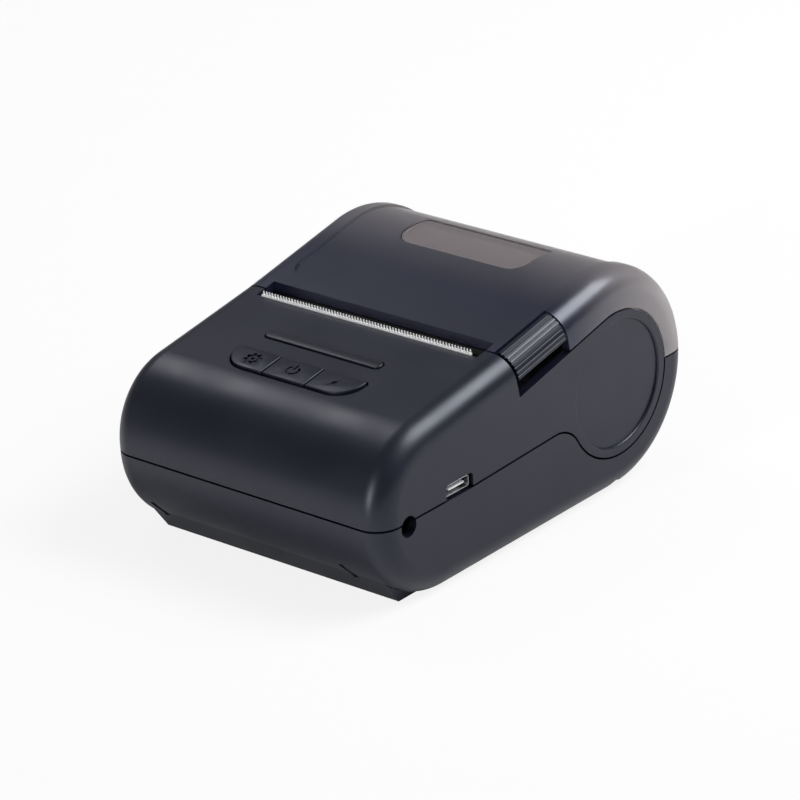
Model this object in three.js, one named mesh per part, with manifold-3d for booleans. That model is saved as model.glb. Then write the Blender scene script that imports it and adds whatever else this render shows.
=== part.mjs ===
// Portable thermal receipt printer: clam shell body, hinged paper cover, platen drive and electronics.
// Millimetres. X runs across the paper, -Y is the front with the keys, +Z is up.
// The origin is on the table, under the middle of the body.
import * as THREE from 'three';
import { mergeVertices } from 'three/addons/utils/BufferGeometryUtils.js';
import Module from 'manifold-3d';

const wasm = await Module();
wasm.setup();

// What the printer holds and shows, from the front to the back, and the walls round it
const PAPER_WIDTH = 57.5;
const ROLL_R = 20;
const ROLL_PLAY = 0.6;
const WALL = 2;
const BIN_WALL = 1.2;
const BIN_PLAY = 0.45;
const SIDE_ROOM = 7.75;
const PAD_BACK = 15;
const PAD_LONG = 7.4;
const STRIP_FROM_PAD = 4.3;
const STRIP_LONG = 3.1;
const STRIP_FROM_SEAM = 12.4;
const MECHANISM_LONG = 11.75;
const DECK_LONG = PAD_BACK + PAD_LONG + STRIP_FROM_PAD + STRIP_LONG + STRIP_FROM_SEAM;
const BIN_R = ROLL_R + ROLL_PLAY;
const BIN_OUTER_R = BIN_R + BIN_WALL;
const BACK_R = BIN_OUTER_R + BIN_PLAY + WALL;

// Body
const WIDTH = PAPER_WIDTH + 2 * SIDE_ROOM;
const LENGTH = DECK_LONG + MECHANISM_LONG + BIN_OUTER_R + BACK_R;
const HEIGHT = 2 * BACK_R;
const FRONT_Y = -LENGTH / 2;
const SEAM_Y = FRONT_Y + DECK_LONG;
const RING_Y = LENGTH / 2 - BACK_R;
const RING_Z = BACK_R;
const EDGE_R = 5.3;
const COVER_SLOPE = 0.2035;
const HOUSING_SLOPE = 0.16;
const FRONT_TOP_R = 17;
const PARTING_DROP = 4.75;
const PARTING_Z = RING_Z - PARTING_DROP;
const PARTING_RISE = 1;
const RISE_BEFORE_SEAM = 16.2;
const PARTING_RISE_START = SEAM_Y - RISE_BEFORE_SEAM;
const BUMP_R = 8;
const SEAM = 0.45;

// Side ring, foot wedge and small holes of the case
const RING_RIM = 8.35;
const RING_BAND = 2.2;
const RING_OUTER_R = BACK_R - RING_RIM;
const RING_INNER_R = RING_OUTER_R - RING_BAND;
const RING_DEEP = 0.5;
const SIDE_LINE_SLOPE = 0.23;
const FOOT_BACK = 9.9;
const FOOT_FRONT_Y = FRONT_Y + FOOT_BACK;
const CREASE_Z = 5.6;
const SLOT_R = 0.65;
const SLOT_SUNK = 0.5;
const SLOT_LEAN = 1.5;
const SLOT_FROM_SIDE = 11;
const SLOTS_OFF_CENTRE = 3;
const SLOT_ABOVE_CREASE = 2.7;
const SLOT_BELOW_CREASE = 1.1;
const SLOT_X = WIDTH / 2 - SLOT_FROM_SIDE;
const STRAP_HOLE_R = 2.25;
const STRAP_HOLE_BACK = 8.15;
const STRAP_HOLE_DROP = 0.9;
const STRAP_HOLE_Y = FRONT_Y + STRAP_HOLE_BACK;
const STRAP_HOLE_Z = PARTING_Z - STRAP_HOLE_DROP;
const STRAP_PIN_R = 0.75;
const STRAP_PIN_BACK = 3.2;
const STRAP_PIN_LONG = 7;
const STRAP_BLOCK_HALF = 3 * STRAP_PIN_R;

// Paper path
const MOUTH_PLAY = 0.75;
const MOUTH_REACH = 2.8;
const MOUTH_FRONT_Y = SEAM_Y - MOUTH_REACH;
const MOUTH_BACK_Y = SEAM_Y + MOUTH_REACH;
const MOUTH_HALF = PAPER_WIDTH / 2 + MOUTH_PLAY;

// Cover panel and window
const PANEL_FROM_SIDE = 7.2;
const PANEL_FROM_SEAM = 6.2;
const PANEL_HALF = WIDTH / 2 - PANEL_FROM_SIDE;
const PANEL_FRONT_Y = SEAM_Y + PANEL_FROM_SEAM;
const PANEL_CORNER_R = 5.5;
const PANEL_DEEP = 0.45;
const WINDOW_FROM_SIDE = 19.7;
const WINDOW_LONG = 12;
const WINDOW_BEHIND_ROLL = 4.95;
const WINDOW_HALF = WIDTH / 2 - WINDOW_FROM_SIDE;
const WINDOW_BACK_Y = RING_Y + WINDOW_BEHIND_ROLL;
const WINDOW_FRONT_Y = WINDOW_BACK_Y - WINDOW_LONG;
const WINDOW_CORNER_R = 4;
const WINDOW_BACK_R = 0.9;
const WINDOW_FLANGE = 1.4;
const WINDOW_FLANGE_THICK = 1;

// Rear hinge of the cover
const HINGE_INSET = 1.2;
const HINGE_DROP = 0.15;
const KNUCKLE_R = 2;
const HINGE_PIN_R = 0.9;
const HINGE_BORE_R = 1.05;
const HINGE_FROM_SIDE = 16;
const HINGE_MID_X = WIDTH / 2 - HINGE_FROM_SIDE;
const COVER_KNUCKLE_LONG = 7;
const CASE_KNUCKLE_LONG = 3.2;
const HINGE_RELIEF = 1.5;
const HINGE_RELIEF_EDGE = 2.1;
const HINGE_RELIEF_HALF = WIDTH / 2 - HINGE_RELIEF_EDGE;

// Latch lever at the right edge of the cover
const LATCH_LONG = 16.6;
const LATCH_WIDE = 4.45;
const LATCH_IN_X = WIDTH / 2 - LATCH_WIDE;
const LATCH_GAP = 0.45;
const LATCH_SKIN = 1.5;
const LATCH_RECESS = 3.1;
const LATCH_AXIS_IN = 3.5;
const LATCH_AXIS_X = WIDTH / 2 - LATCH_AXIS_IN;
const LATCH_AXIS_DEEP = 3.3;
const LATCH_PIN_R = 0.6;
const LATCH_LUG_LONG = 1.6;
const LATCH_LUG_R = 1.2;
const LATCH_POCKET_WALL = 1.2;
const LATCH_SPRING_R = 0.95;

// Keys and light strip on the housing top
const CONTROLS_X = -1.4;
const PAD_HALF = 17.4;
const PAD_LOW_Y = FRONT_Y + PAD_BACK;
const PAD_TOP_Y = PAD_LOW_Y + PAD_LONG;
const PAD_LOW_R = 6.2;
const PAD_TOP_R = 1.1;
const KEY_PROUD = 0.6;
const KEY_TRAVEL = 0.5;
const KEY_BODY = 2.6;
const KEY_SPLIT = 5.7;
const STRIP_HALF = 15.6;
const STRIP_LOW_Y = PAD_TOP_Y + STRIP_FROM_PAD;
const STRIP_TOP_Y = STRIP_LOW_Y + STRIP_LONG;
const STRIP_PROUD = 0.35;
const STRIP_BODY = 2.4;

// Clearances
const FIT = 0.3;
const RUN = 0.15;
const PRESS_PLAY = 0.05;
const OVER = 1;
const BIG = 80;
const PAST_SKIN = 7;

// Facets
const BACK_STEPS = 22;
const ARC_STEPS = 7;
const EDGE_STEPS = 4;
const ROUND = 24;
const SMALL_ROUND = 12;

const PLASTIC = { color: 0x34363f, roughness: 0.45, metalness: 0 };
const FINISH = {
  shell: PLASTIC,
  cover: { color: 0x46464f, roughness: 0.12, metalness: 0 },
  window: { color: 0x8c8078, roughness: 0.1, metalness: 0 },
  dark: { color: 0x17181c, roughness: 0.55, metalness: 0 },
  key: { color: 0x3a3b44, roughness: 0.4, metalness: 0 },
  rubber: { color: 0x1b1b1c, roughness: 0.85, metalness: 0 },
  steel: { color: 0xc9ccd0, roughness: 0.28, metalness: 1 },
  blade: { color: 0xf0f1f2, roughness: 0.3, metalness: 1 },
  zinc: { color: 0xa9adb2, roughness: 0.4, metalness: 1 },
  alloy: { color: 0xb9bbbe, roughness: 0.5, metalness: 1 },
  acetal: { color: 0xe6e3da, roughness: 0.5, metalness: 0 },
  board: { color: 0x1d5a38, roughness: 0.5, metalness: 0 },
  ceramic: { color: 0xe9e4d8, roughness: 0.3, metalness: 0 },
  cell: { color: 0x2f4f8f, roughness: 0.4, metalness: 0 },
  lens: { color: 0x2c2f36, roughness: 0.2, metalness: 0 },
};

// Turn a closed geometry into a solid for cutting and joining, and back
function solidOf(geometry) {
  const bare = geometry.clone();
  bare.deleteAttribute('normal');
  bare.deleteAttribute('uv');
  const whole = mergeVertices(bare, 1e-5);
  return new wasm.Manifold(new wasm.Mesh({
    numProp: 3,
    vertProperties: new Float32Array(whole.attributes.position.array),
    triVerts: new Uint32Array(whole.index.array),
  }));
}

function geometryOf(solid) {
  const mesh = solid.getMesh();
  const geometry = new THREE.BufferGeometry();
  geometry.setAttribute('position', new THREE.BufferAttribute(new Float32Array(mesh.vertProperties), 3));
  geometry.setIndex(new THREE.BufferAttribute(new Uint32Array(mesh.triVerts), 1));
  geometry.computeVertexNormals();
  return geometry;
}

const join = (...solids) => solids.reduce((sum, next) => sum.add(next));
const cut = (body, ...tools) => tools.reduce((rest, tool) => rest.subtract(tool), body);

// Frames: a (y, z) outline swept along X, an (x, y) outline swept along Z, and one laid on a slope
const ALONG_X = new THREE.Matrix4().makeBasis(
  new THREE.Vector3(0, 1, 0), new THREE.Vector3(0, 0, 1), new THREE.Vector3(1, 0, 0));

function slopeFrame(slope, y, z) {
  const angle = Math.atan(slope);
  const frame = new THREE.Matrix4().makeBasis(
    new THREE.Vector3(1, 0, 0),
    new THREE.Vector3(0, Math.cos(angle), Math.sin(angle)),
    new THREE.Vector3(0, -Math.sin(angle), Math.cos(angle)));
  return frame.setPosition(0, y, z);
}

function sweep(outline, from, to, frame = new THREE.Matrix4()) {
  const shape = new THREE.Shape(outline.map(([a, b]) => new THREE.Vector2(a, b)));
  const geometry = new THREE.ExtrudeGeometry(shape, { depth: to - from, bevelEnabled: false });
  geometry.translate(0, 0, from);
  return solidOf(geometry.applyMatrix4(frame));
}

const prismX = (outline, from, to) => sweep(outline, from, to, ALONG_X);

function box(x0, x1, y0, y1, z0, z1, frame = new THREE.Matrix4()) {
  const geometry = new THREE.BoxGeometry(x1 - x0, y1 - y0, z1 - z0);
  geometry.translate((x0 + x1) / 2, (y0 + y1) / 2, (z0 + z1) / 2);
  return solidOf(geometry.applyMatrix4(frame));
}

function arc(cy, cz, radius, fromDeg, toDeg, steps) {
  const points = [];
  for (let i = 0; i <= steps; i += 1) {
    const angle = THREE.MathUtils.degToRad(fromDeg + (toDeg - fromDeg) * i / steps);
    points.push([cy + radius * Math.cos(angle), cz + radius * Math.sin(angle)]);
  }
  return points;
}

function circle(cy, cz, radius, sides = SMALL_ROUND) {
  return arc(cy, cz, radius, 0, 360, sides).slice(0, -1);
}

const rodX = (y, z, radius, from, to, sides = SMALL_ROUND) => prismX(circle(y, z, radius, sides), from, to);
const rodZ = (x, y, radius, from, to, sides = SMALL_ROUND) => sweep(circle(x, y, radius, sides), from, to);

// The side outline of the body, moved inward by a distance
const COVER_ANGLE = Math.atan(COVER_SLOPE);
const HOUSING_ANGLE = Math.atan(HOUSING_SLOPE);
const COVER_START_Y = RING_Y - BACK_R * Math.sin(COVER_ANGLE);
const COVER_START_Z = RING_Z + BACK_R * Math.cos(COVER_ANGLE);
const coverTop = (y) => COVER_START_Z + COVER_SLOPE * (y - COVER_START_Y);
const SEAM_Z = coverTop(SEAM_Y);
const housingTop = (y) => SEAM_Z + HOUSING_SLOPE * (y - SEAM_Y);
const FRONT_TOP_Y = FRONT_Y + FRONT_TOP_R;
const FRONT_TOP_Z = housingTop(FRONT_TOP_Y) - FRONT_TOP_R / Math.cos(HOUSING_ANGLE);

function sideOutline(inset) {
  const coverZ = (y) => coverTop(y) - inset / Math.cos(COVER_ANGLE);
  const drop = inset / Math.cos(HOUSING_ANGLE) - inset / Math.cos(COVER_ANGLE);
  const kinkY = SEAM_Y - drop / (COVER_SLOPE - HOUSING_SLOPE);
  const coverDeg = THREE.MathUtils.radToDeg(COVER_ANGLE);
  const housingDeg = THREE.MathUtils.radToDeg(HOUSING_ANGLE);
  return [
    ...arc(RING_Y, RING_Z, BACK_R - inset, -90, 90 + coverDeg, BACK_STEPS),
    [kinkY, coverZ(kinkY)],
    ...arc(FRONT_TOP_Y, FRONT_TOP_Z, FRONT_TOP_R - inset, 90 + housingDeg, 180, ARC_STEPS),
    ...arc(FRONT_Y + PARTING_Z, PARTING_Z, PARTING_Z - inset, 180, 270, ARC_STEPS),
  ];
}

// The body's form as a loft of side outlines: full in the middle, drawn in along the rounded edges
function bodyForm(inset) {
  const edge = EDGE_R - inset;
  const flat = WIDTH / 2 - EDGE_R;
  const stations = [];
  for (let i = EDGE_STEPS; i >= 0; i -= 1) {
    const angle = Math.PI / 2 * i / EDGE_STEPS;
    stations.push([-flat - edge * Math.sin(angle), inset + edge * (1 - Math.cos(angle))]);
  }
  for (let i = 0; i <= EDGE_STEPS; i += 1) {
    const angle = Math.PI / 2 * i / EDGE_STEPS;
    stations.push([flat + edge * Math.sin(angle), inset + edge * (1 - Math.cos(angle))]);
  }
  const rings = stations.map(([x, depth]) => sideOutline(depth).map(([y, z]) => [x, y, z]));
  const count = rings[0].length;
  const positions = rings.flat(2);
  const index = [];
  for (let r = 0; r + 1 < rings.length; r += 1) {
    for (let i = 0; i < count; i += 1) {
      const a = r * count + i;
      const b = r * count + (i + 1) % count;
      index.push(a, b, a + count, b, b + count, a + count);
    }
  }
  const left = rings.length * count;
  const right = left + 1;
  positions.push(rings[0][0][0], 0, BACK_R, rings.at(-1)[0][0], 0, BACK_R);
  const last = (rings.length - 1) * count;
  for (let i = 0; i < count; i += 1) {
    const next = (i + 1) % count;
    index.push(left, next, i, right, last + i, last + next);
  }
  const geometry = new THREE.BufferGeometry();
  geometry.setAttribute('position', new THREE.BufferAttribute(new Float32Array(positions), 3));
  geometry.setIndex(index);
  return solidOf(geometry);
}

// The line in the side view where case halves and cover meet, each side moved off it by half the seam
const BUMP_Z = PARTING_Z + PARTING_RISE - BUMP_R;
const BUMP_Y = RING_Y - Math.sqrt((RING_OUTER_R + BUMP_R) ** 2 - (RING_Z - BUMP_Z) ** 2);
const BUMP_DEG = THREE.MathUtils.radToDeg(Math.atan2(RING_Z - BUMP_Z, RING_Y - BUMP_Y));
const SIDE_DEG = THREE.MathUtils.radToDeg(Math.atan(SIDE_LINE_SLOPE));

function partingPath(shift) {
  return [
    [FRONT_Y - OVER, PARTING_Z + shift],
    [PARTING_RISE_START, PARTING_Z + shift],
    ...arc(BUMP_Y, BUMP_Z, BUMP_R + shift, 90, BUMP_DEG, ARC_STEPS),
    ...arc(RING_Y, RING_Z, RING_OUTER_R - shift, 180 + BUMP_DEG, 360, 2 * ARC_STEPS).slice(1),
  ];
}

// Lower side edge of the cover: tangent to the ring, running down to the front
function sideLine(shift) {
  const angle = THREE.MathUtils.degToRad(SIDE_DEG);
  const touchY = RING_Y - (RING_OUTER_R + shift) * Math.sin(angle);
  const touchZ = RING_Z + (RING_OUTER_R + shift) * Math.cos(angle);
  return (y) => touchZ + SIDE_LINE_SLOPE * (y - touchY);
}

// The front edge of the cover stands square to its slope
const seamFrame = slopeFrame(COVER_SLOPE, SEAM_Y, SEAM_Z);
function onSeam(along, up) {
  const point = new THREE.Vector3(0, along, up).applyMatrix4(seamFrame);
  return [point.y, point.z];
}

function meetSide(along, shift) {
  const line = sideLine(shift);
  const [topY, topZ] = onSeam(along, 0);
  const z = (line(topY) + SIDE_LINE_SLOPE * COVER_SLOPE * topZ) / (1 + SIDE_LINE_SLOPE * COVER_SLOPE);
  return [topY + COVER_SLOPE * (topZ - z), z];
}

function lowerRegion() {
  const path = partingPath(-SEAM / 2).slice(0, -1);
  return [
    ...path,
    [RING_Y + RING_OUTER_R + SEAM / 2, RING_Z - SEAM / 2],
    [LENGTH / 2 + BIG, RING_Z - SEAM / 2],
    [LENGTH / 2 + BIG, -BIG],
    [FRONT_Y - OVER, -BIG],
  ];
}

function housingRegion() {
  const ring = arc(RING_Y, RING_Z, RING_OUTER_R - SEAM / 2, 0, 90 + SIDE_DEG, 2 * ARC_STEPS).slice(1);
  return [
    ...partingPath(SEAM / 2),
    ...ring,
    meetSide(-SEAM / 2, -SEAM / 2),
    onSeam(-SEAM / 2, PAST_SKIN),
    [FRONT_Y - OVER, HEIGHT + BIG],
  ];
}

function coverRegion() {
  return [
    onSeam(SEAM / 2, PAST_SKIN),
    meetSide(SEAM / 2, SEAM / 2),
    ...arc(RING_Y, RING_Z, RING_OUTER_R + SEAM / 2, 90 + SIDE_DEG, 0, 2 * ARC_STEPS).slice(0, -1),
    [RING_Y + RING_OUTER_R + SEAM / 2, RING_Z + SEAM / 2],
    [LENGTH / 2 + BIG, RING_Z + SEAM / 2],
    [LENGTH / 2 + BIG, HEIGHT + BIG],
  ];
}

// Plan outlines
function roundedRect(x0, x1, y0, y1, radius, backRadius = radius, steps = ARC_STEPS - 3) {
  return [
    ...arc(x1 - radius, y0 + radius, radius, -90, 0, steps),
    ...arc(x1 - backRadius, y1 - backRadius, backRadius, 0, 90, steps),
    ...arc(x0 + backRadius, y1 - backRadius, backRadius, 90, 180, steps),
    ...arc(x0 + radius, y0 + radius, radius, 180, 270, steps),
  ];
}

const parts = new THREE.Group();
// Where cuts leave crumbs thinner than a facet, the piece is the body without them
function piece(name, finish, solid) {
  const bodies = solid.decompose().sort((a, b) => b.volume() - a.volume());
  const mesh = new THREE.Mesh(geometryOf(bodies[0]), new THREE.MeshStandardMaterial(finish));
  mesh.name = name;
  parts.add(mesh);
  return mesh;
}

const outer = bodyForm(0);
const inner = bodyForm(WALL);
const skin = cut(outer, inner);

// Hinge line at the back of the body
const HINGE_Y = LENGTH / 2 - HINGE_INSET;
const HINGE_Z = RING_Z - HINGE_DROP;
const hingeSides = [-1, 1];

function coverKnuckle(side, grow = 0, radius = KNUCKLE_R) {
  const reach = COVER_KNUCKLE_LONG / 2 + grow;
  return rodX(HINGE_Y, HINGE_Z, radius, side * HINGE_MID_X - reach, side * HINGE_MID_X + reach, ROUND);
}

function caseKnuckles(side, grow = 0, radius = KNUCKLE_R) {
  const near = COVER_KNUCKLE_LONG / 2 + FIT;
  return hingeSides.map((end) => {
    const a = side * HINGE_MID_X + end * near;
    const b = a + end * CASE_KNUCKLE_LONG;
    return rodX(HINGE_Y, HINGE_Z, radius, Math.min(a, b) - grow, Math.max(a, b) + grow, ROUND);
  });
}

const PIN_HALF = COVER_KNUCKLE_LONG / 2 + FIT + CASE_KNUCKLE_LONG;
const hingeBore = (side) => rodX(HINGE_Y, HINGE_Z, HINGE_BORE_R,
  side * HINGE_MID_X - PIN_HALF - OVER, side * HINGE_MID_X + PIN_HALF + OVER, ROUND);

// Housing frame: local y runs up the housing's slope from the seam, local z stands off its face
const housingFrame = slopeFrame(HOUSING_SLOPE, SEAM_Y, SEAM_Z);
const slopeY = (y) => (y - SEAM_Y) / Math.cos(HOUSING_ANGLE);
const onHousing = (outline, from, to) => sweep(outline, from, to, housingFrame);

function padOutline(shrink, x0 = -PAD_HALF, x1 = PAD_HALF) {
  const low = slopeY(PAD_LOW_Y) + shrink;
  const high = slopeY(PAD_TOP_Y) - shrink;
  const whole = roundedRect(CONTROLS_X - PAD_HALF + shrink, CONTROLS_X + PAD_HALF - shrink,
    low, high, PAD_LOW_R - shrink, PAD_TOP_R - shrink);
  return { whole, x0: CONTROLS_X + x0, x1: CONTROLS_X + x1, low, high };
}

function stripOutline(shrink) {
  const half = STRIP_HALF - shrink;
  const low = slopeY(STRIP_LOW_Y) + shrink;
  const high = slopeY(STRIP_TOP_Y) - shrink;
  return roundedRect(CONTROLS_X - half, CONTROLS_X + half, low, high, (high - low - RUN) / 2);
}

function ringRecess() {
  const floor = WIDTH / 2 - RING_DEEP;
  const past = WIDTH / 2 + OVER;
  return [[floor, past], [-past, -floor]].map(([from, to]) => (
    rodX(RING_Y, RING_Z, RING_INNER_R, from, to, ROUND * 2)));
}

const strapHole = () => (
  rodX(STRAP_HOLE_Y, STRAP_HOLE_Z, STRAP_HOLE_R, WIDTH / 2 - EDGE_R, WIDTH / 2 + OVER, ROUND));

// Screws come up from below at the four corners of the case
const FRONT_SCREW_IN = 9.5;
const FRONT_SCREW_BACK = 14;
const FRONT_SCREW_X = WIDTH / 2 - FRONT_SCREW_IN;
const FRONT_SCREW_Y = FRONT_Y + FRONT_SCREW_BACK;
const REAR_SCREW_IN = 3.4;
const REAR_SCREW_X = WIDTH / 2 - REAR_SCREW_IN;
const REAR_BOSS_R = 2.1;
const REAR_BOSS_Z = 8.2;
const REAR_BOSS_HIGH = 10;
const FRONT_SCREW_BITE = 3.05;
const REAR_SCREW_BITE = 4;
const SCREW_HEAD_R = 2.2;
const SCREW_HEAD_HIGH = 1.6;
const SCREW_SHANK_R = 1;
const FRONT_BOSS_R = 2.6;
const SCREW_SINK = 1.2;
const REAR_SCREW_SINK = 3.4;
const CROSS_SHARE = 0.65;

// Micro USB socket in the right wall
const USB_BACK = 23.8;
const USB_Y = FRONT_Y + USB_BACK;
const USB_LONG = 7.5;
const USB_HIGH = 2.5;
const USB_DEEP = 5.6;
const USB_WALL = 0.35;
const USB_TONGUE = 0.6;
const USB_SET_BACK = 0.5;
const USB_LOW_Z = PARTING_Z + FIT;

// Boards and battery
const BOARD_THICK = 1.2;
const BOARD_FROM_SIDE = 4;
const BOARD_FROM_FRONT = 5.5;
const BOARD_FROM_SEAM = 14.5;
const BOARD_HALF = WIDTH / 2 - BOARD_FROM_SIDE;
const BOARD_FRONT_Y = FRONT_Y + BOARD_FROM_FRONT;
const BOARD_BACK_Y = SEAM_Y - BOARD_FROM_SEAM;
const BOARD_TOP_Z = USB_LOW_Z - FIT / 2;
const RADIO_LONG = 16;
const RADIO_WIDE = 12;
const RADIO_HIGH = 2.4;
const RADIO_EDGE = 3;
const POST_R = 2;
const BATTERY_FROM_SIDE = 13.5;
const BATTERY_FROM_FRONT = 18;
const BATTERY_GAP = 1;
const BATTERY_HALF = WIDTH / 2 - BATTERY_FROM_SIDE;
const BATTERY_HIGH = 11;
const BATTERY_TOP_Z = WALL + 2 * FIT + BATTERY_HIGH;
const BATTERY_FRONT_Y = FRONT_Y + BATTERY_FROM_FRONT;
const BATTERY_BACK_Y = RING_Y - Math.sqrt(BIN_OUTER_R ** 2 - (RING_Z - BATTERY_TOP_Z) ** 2) - BATTERY_GAP;
const DOOR_LAP = 2;
const DOOR_HALF = BATTERY_HALF + DOOR_LAP;
const DOOR_THICK = 1.4;
const DOOR_RIM = 1.6;
const DOOR_FRONT_Y = BATTERY_FRONT_Y - DOOR_LAP / 2;
const DOOR_BACK_Y = BATTERY_BACK_Y + DOOR_LAP / 4;

// Mechanism: platen, head and gears
const PLATEN_BEHIND_SEAM = 4.4;
const PLATEN_DEEP = 8.065;
const PLATEN_Y = SEAM_Y + PLATEN_BEHIND_SEAM;
const PLATEN_R = 4.2;
const PLATEN_INSIDE = 0.35;
const PLATEN_HALF = PAPER_WIDTH / 2 - PLATEN_INSIDE;
const SHAFT_R = 1.5;
const SHAFT_FROM_SIDE = 3.1;
const SHAFT_LEFT = WIDTH / 2 - SHAFT_FROM_SIDE;
const BUSH_R = 2.7;
const ARM_GAP = 0.6;
const ARM_THICK = 1.1;
const ARM_IN = PLATEN_HALF + ARM_GAP;
const ARM_OUT = ARM_IN + ARM_THICK;
const BUSH_LONG = 1.4;
const HOLDER_THICK = 1.2;
const HOLDER_LONG = 14.8;
const HOLDER_BACK_Y = SEAM_Y + HOLDER_LONG;
const HEAD_THICK = 1.2;
const HEAD_INSIDE = 1.75;
const HEAD_DROP = 3;
const HEAD_RISE = 2.3;
const HEAD_HALF = PAPER_WIDTH / 2 - HEAD_INSIDE;
const SINK_THICK = 1.8;
const SINK_INSIDE = 0.55;
const SINK_DROP = 4;
const SINK_HALF = PAPER_WIDTH / 2 - SINK_INSIDE;
const HEAD_SPRING_R = 2;
const HEAD_SPRING_LONG = 3;
const HEAD_SPRING_X = 16;
const FRAME_WALL = 1.6;
const FRAME_OUTSIDE = 0.5;
const FRAME_DROP = 5.4;
const FRAME_LIP = 0.2;
const FRAME_LONG = 8.8;
const FRAME_HALF = MOUTH_HALF + FRAME_OUTSIDE;
const FRAME_BACK_Y = SEAM_Y + FRAME_LONG;
const BLADE_INSIDE = 1.5;
const BLADE_FROM_MOUTH = 0.7;
const BLADE_LOW = 0.13;
const BLADE_HALF = MOUTH_HALF - BLADE_INSIDE;
const BLADE_THICK = 0.5;
const BLADE_TOOTH = 0.7;
const BLADE_Y = MOUTH_FRONT_Y + BLADE_FROM_MOUTH;
const TEETH = 80;

const MODULE = 0.6;
const GEAR_THICK = 1.5;
const GEAR_OUTSIDE = 1.2;
const GEAR_X = -FRAME_HALF - GEAR_OUTSIDE;
const PLATEN_TEETH = 14;
const IDLER_TEETH = 20;
const PINION_TEETH = 10;
const MESH_PLAY = 0.12;
const IDLER_DEG = -102;
const PINION_DEG = 188;
const ROOT_DEPTH_SHARE = 1.2;
const TIP_HEIGHT_SHARE = 0.9;
const ROOT_SHARE = 1 / 3;
const TIP_SHARE = 0.1286;
const MOTOR_R = 7;
const MOTOR_LONG = 12;
const MOTOR_SHAFT_R = 0.75;
const STUD_R = 1;

// Paper bin
const BIN_HALF = MOUTH_HALF;
const BIN_END_DEG = -8;
const BIN_FRONT_DEG = 176;
const SENSOR_SIZE = 4;

// Heights of the mechanism, measured from the platen's axis under the cover
const PLATEN_Z = coverTop(PLATEN_Y) - PLATEN_DEEP;
const HEAD_LOW_Z = PLATEN_Z - HEAD_DROP;
const HEAD_HIGH_Z = PLATEN_Z + HEAD_RISE;
const SINK_LOW_Z = PLATEN_Z - SINK_DROP;
const FRAME_STEP_Z = PLATEN_Z - FRAME_DROP;
const FRAME_HIGH_Z = HEAD_HIGH_Z + FRAME_LIP;
const BLADE_TOP_Z = housingTop(BLADE_Y) - BLADE_LOW;

// Case screws: the front pair goes through the main board, the rear pair into the housing's ears
const screwSpots = hingeSides.flatMap((side) => [
  {
    name: side < 0 ? 'front_left' : 'front_right',
    x: side * FRONT_SCREW_X,
    y: FRONT_SCREW_Y,
    sink: SCREW_SINK,
    long: BOARD_TOP_Z + FRONT_SCREW_BITE - SCREW_SINK,
    bossR: FRONT_BOSS_R,
    bossTop: BOARD_TOP_Z - BOARD_THICK - FIT / 2,
  },
  {
    name: side < 0 ? 'rear_left' : 'rear_right',
    x: side * REAR_SCREW_X,
    y: RING_Y,
    sink: REAR_SCREW_SINK,
    long: REAR_BOSS_Z + REAR_SCREW_BITE - REAR_SCREW_SINK,
    bossR: REAR_BOSS_R,
    bossTop: REAR_BOSS_Z,
  },
]);

// Case halves
const frontSkinY = (z) => FRONT_Y + PARTING_Z - Math.sqrt(PARTING_Z ** 2 - (PARTING_Z - z) ** 2);
const creaseY = frontSkinY(CREASE_Z);
const FLAT_HALF = WIDTH / 2 - EDGE_R;

// A round-bottomed slot that starts above the crease, leans aside and runs out on the foot
function footSlot(side) {
  const x = side * SLOT_X - SLOTS_OFF_CENTRE;
  const highZ = CREASE_Z + SLOT_ABOVE_CREASE;
  const lowZ = CREASE_Z - SLOT_BELOW_CREASE;
  const high = new THREE.Vector3(x, frontSkinY(highZ) + SLOT_SUNK, highZ);
  const footY = creaseY + (FOOT_FRONT_Y - creaseY) * SLOT_BELOW_CREASE / CREASE_Z;
  const low = new THREE.Vector3(x + SLOT_LEAN, footY, lowZ);
  const along = low.clone().sub(high);
  const up = new THREE.Vector3(0, 0, 1);
  const turn = new THREE.Quaternion().setFromUnitVectors(up, along.clone().normalize());
  const frame = new THREE.Matrix4().compose(high, turn, new THREE.Vector3(1, 1, 1));
  return sweep(circle(0, 0, SLOT_R), 0, along.length(), frame);
}

function lowerShell() {
  const foot = prismX([
    [FOOT_FRONT_Y, 0], [FRONT_Y + PARTING_Z, 0], [FRONT_Y + PARTING_Z, WALL], [creaseY, CREASE_Z],
  ], -FLAT_HALF, FLAT_HALF);
  let shell = join(skin, foot).intersect(prismX(lowerRegion(), -WIDTH, WIDTH));
  const bosses = screwSpots.map(({ x, y, bossR, bossTop }) => (
    rodZ(x, y, bossR, WALL / 2, bossTop).intersect(outer)));
  shell = join(shell, ...bosses);
  for (const side of hingeSides) {
    shell = join(shell, ...caseKnuckles(side));
    shell = cut(shell, coverKnuckle(side, FIT / 2, KNUCKLE_R + FIT), hingeBore(side));
  }
  for (const { x, y, sink } of screwSpots) {
    shell = cut(shell,
      rodZ(x, y, SCREW_HEAD_R + FIT, -OVER, sink + SCREW_HEAD_HIGH + FIT, ROUND),
      rodZ(x, y, SCREW_SHANK_R + FIT, -OVER, BIG, SMALL_ROUND));
  }
  const doorway = roundedRect(-DOOR_HALF, DOOR_HALF, DOOR_FRONT_Y, DOOR_BACK_Y, DOOR_RIM);
  const door = sweep(doorway, -OVER, DOOR_THICK + FIT);
  const wellHalf = DOOR_HALF - DOOR_RIM;
  const well = box(-wellHalf, wellHalf, DOOR_FRONT_Y + DOOR_RIM, DOOR_BACK_Y - DOOR_RIM, 0, WALL + OVER);
  return cut(shell, door, well, ...hingeSides.map(footSlot), strapHole(), ...ringRecess());
}

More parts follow.
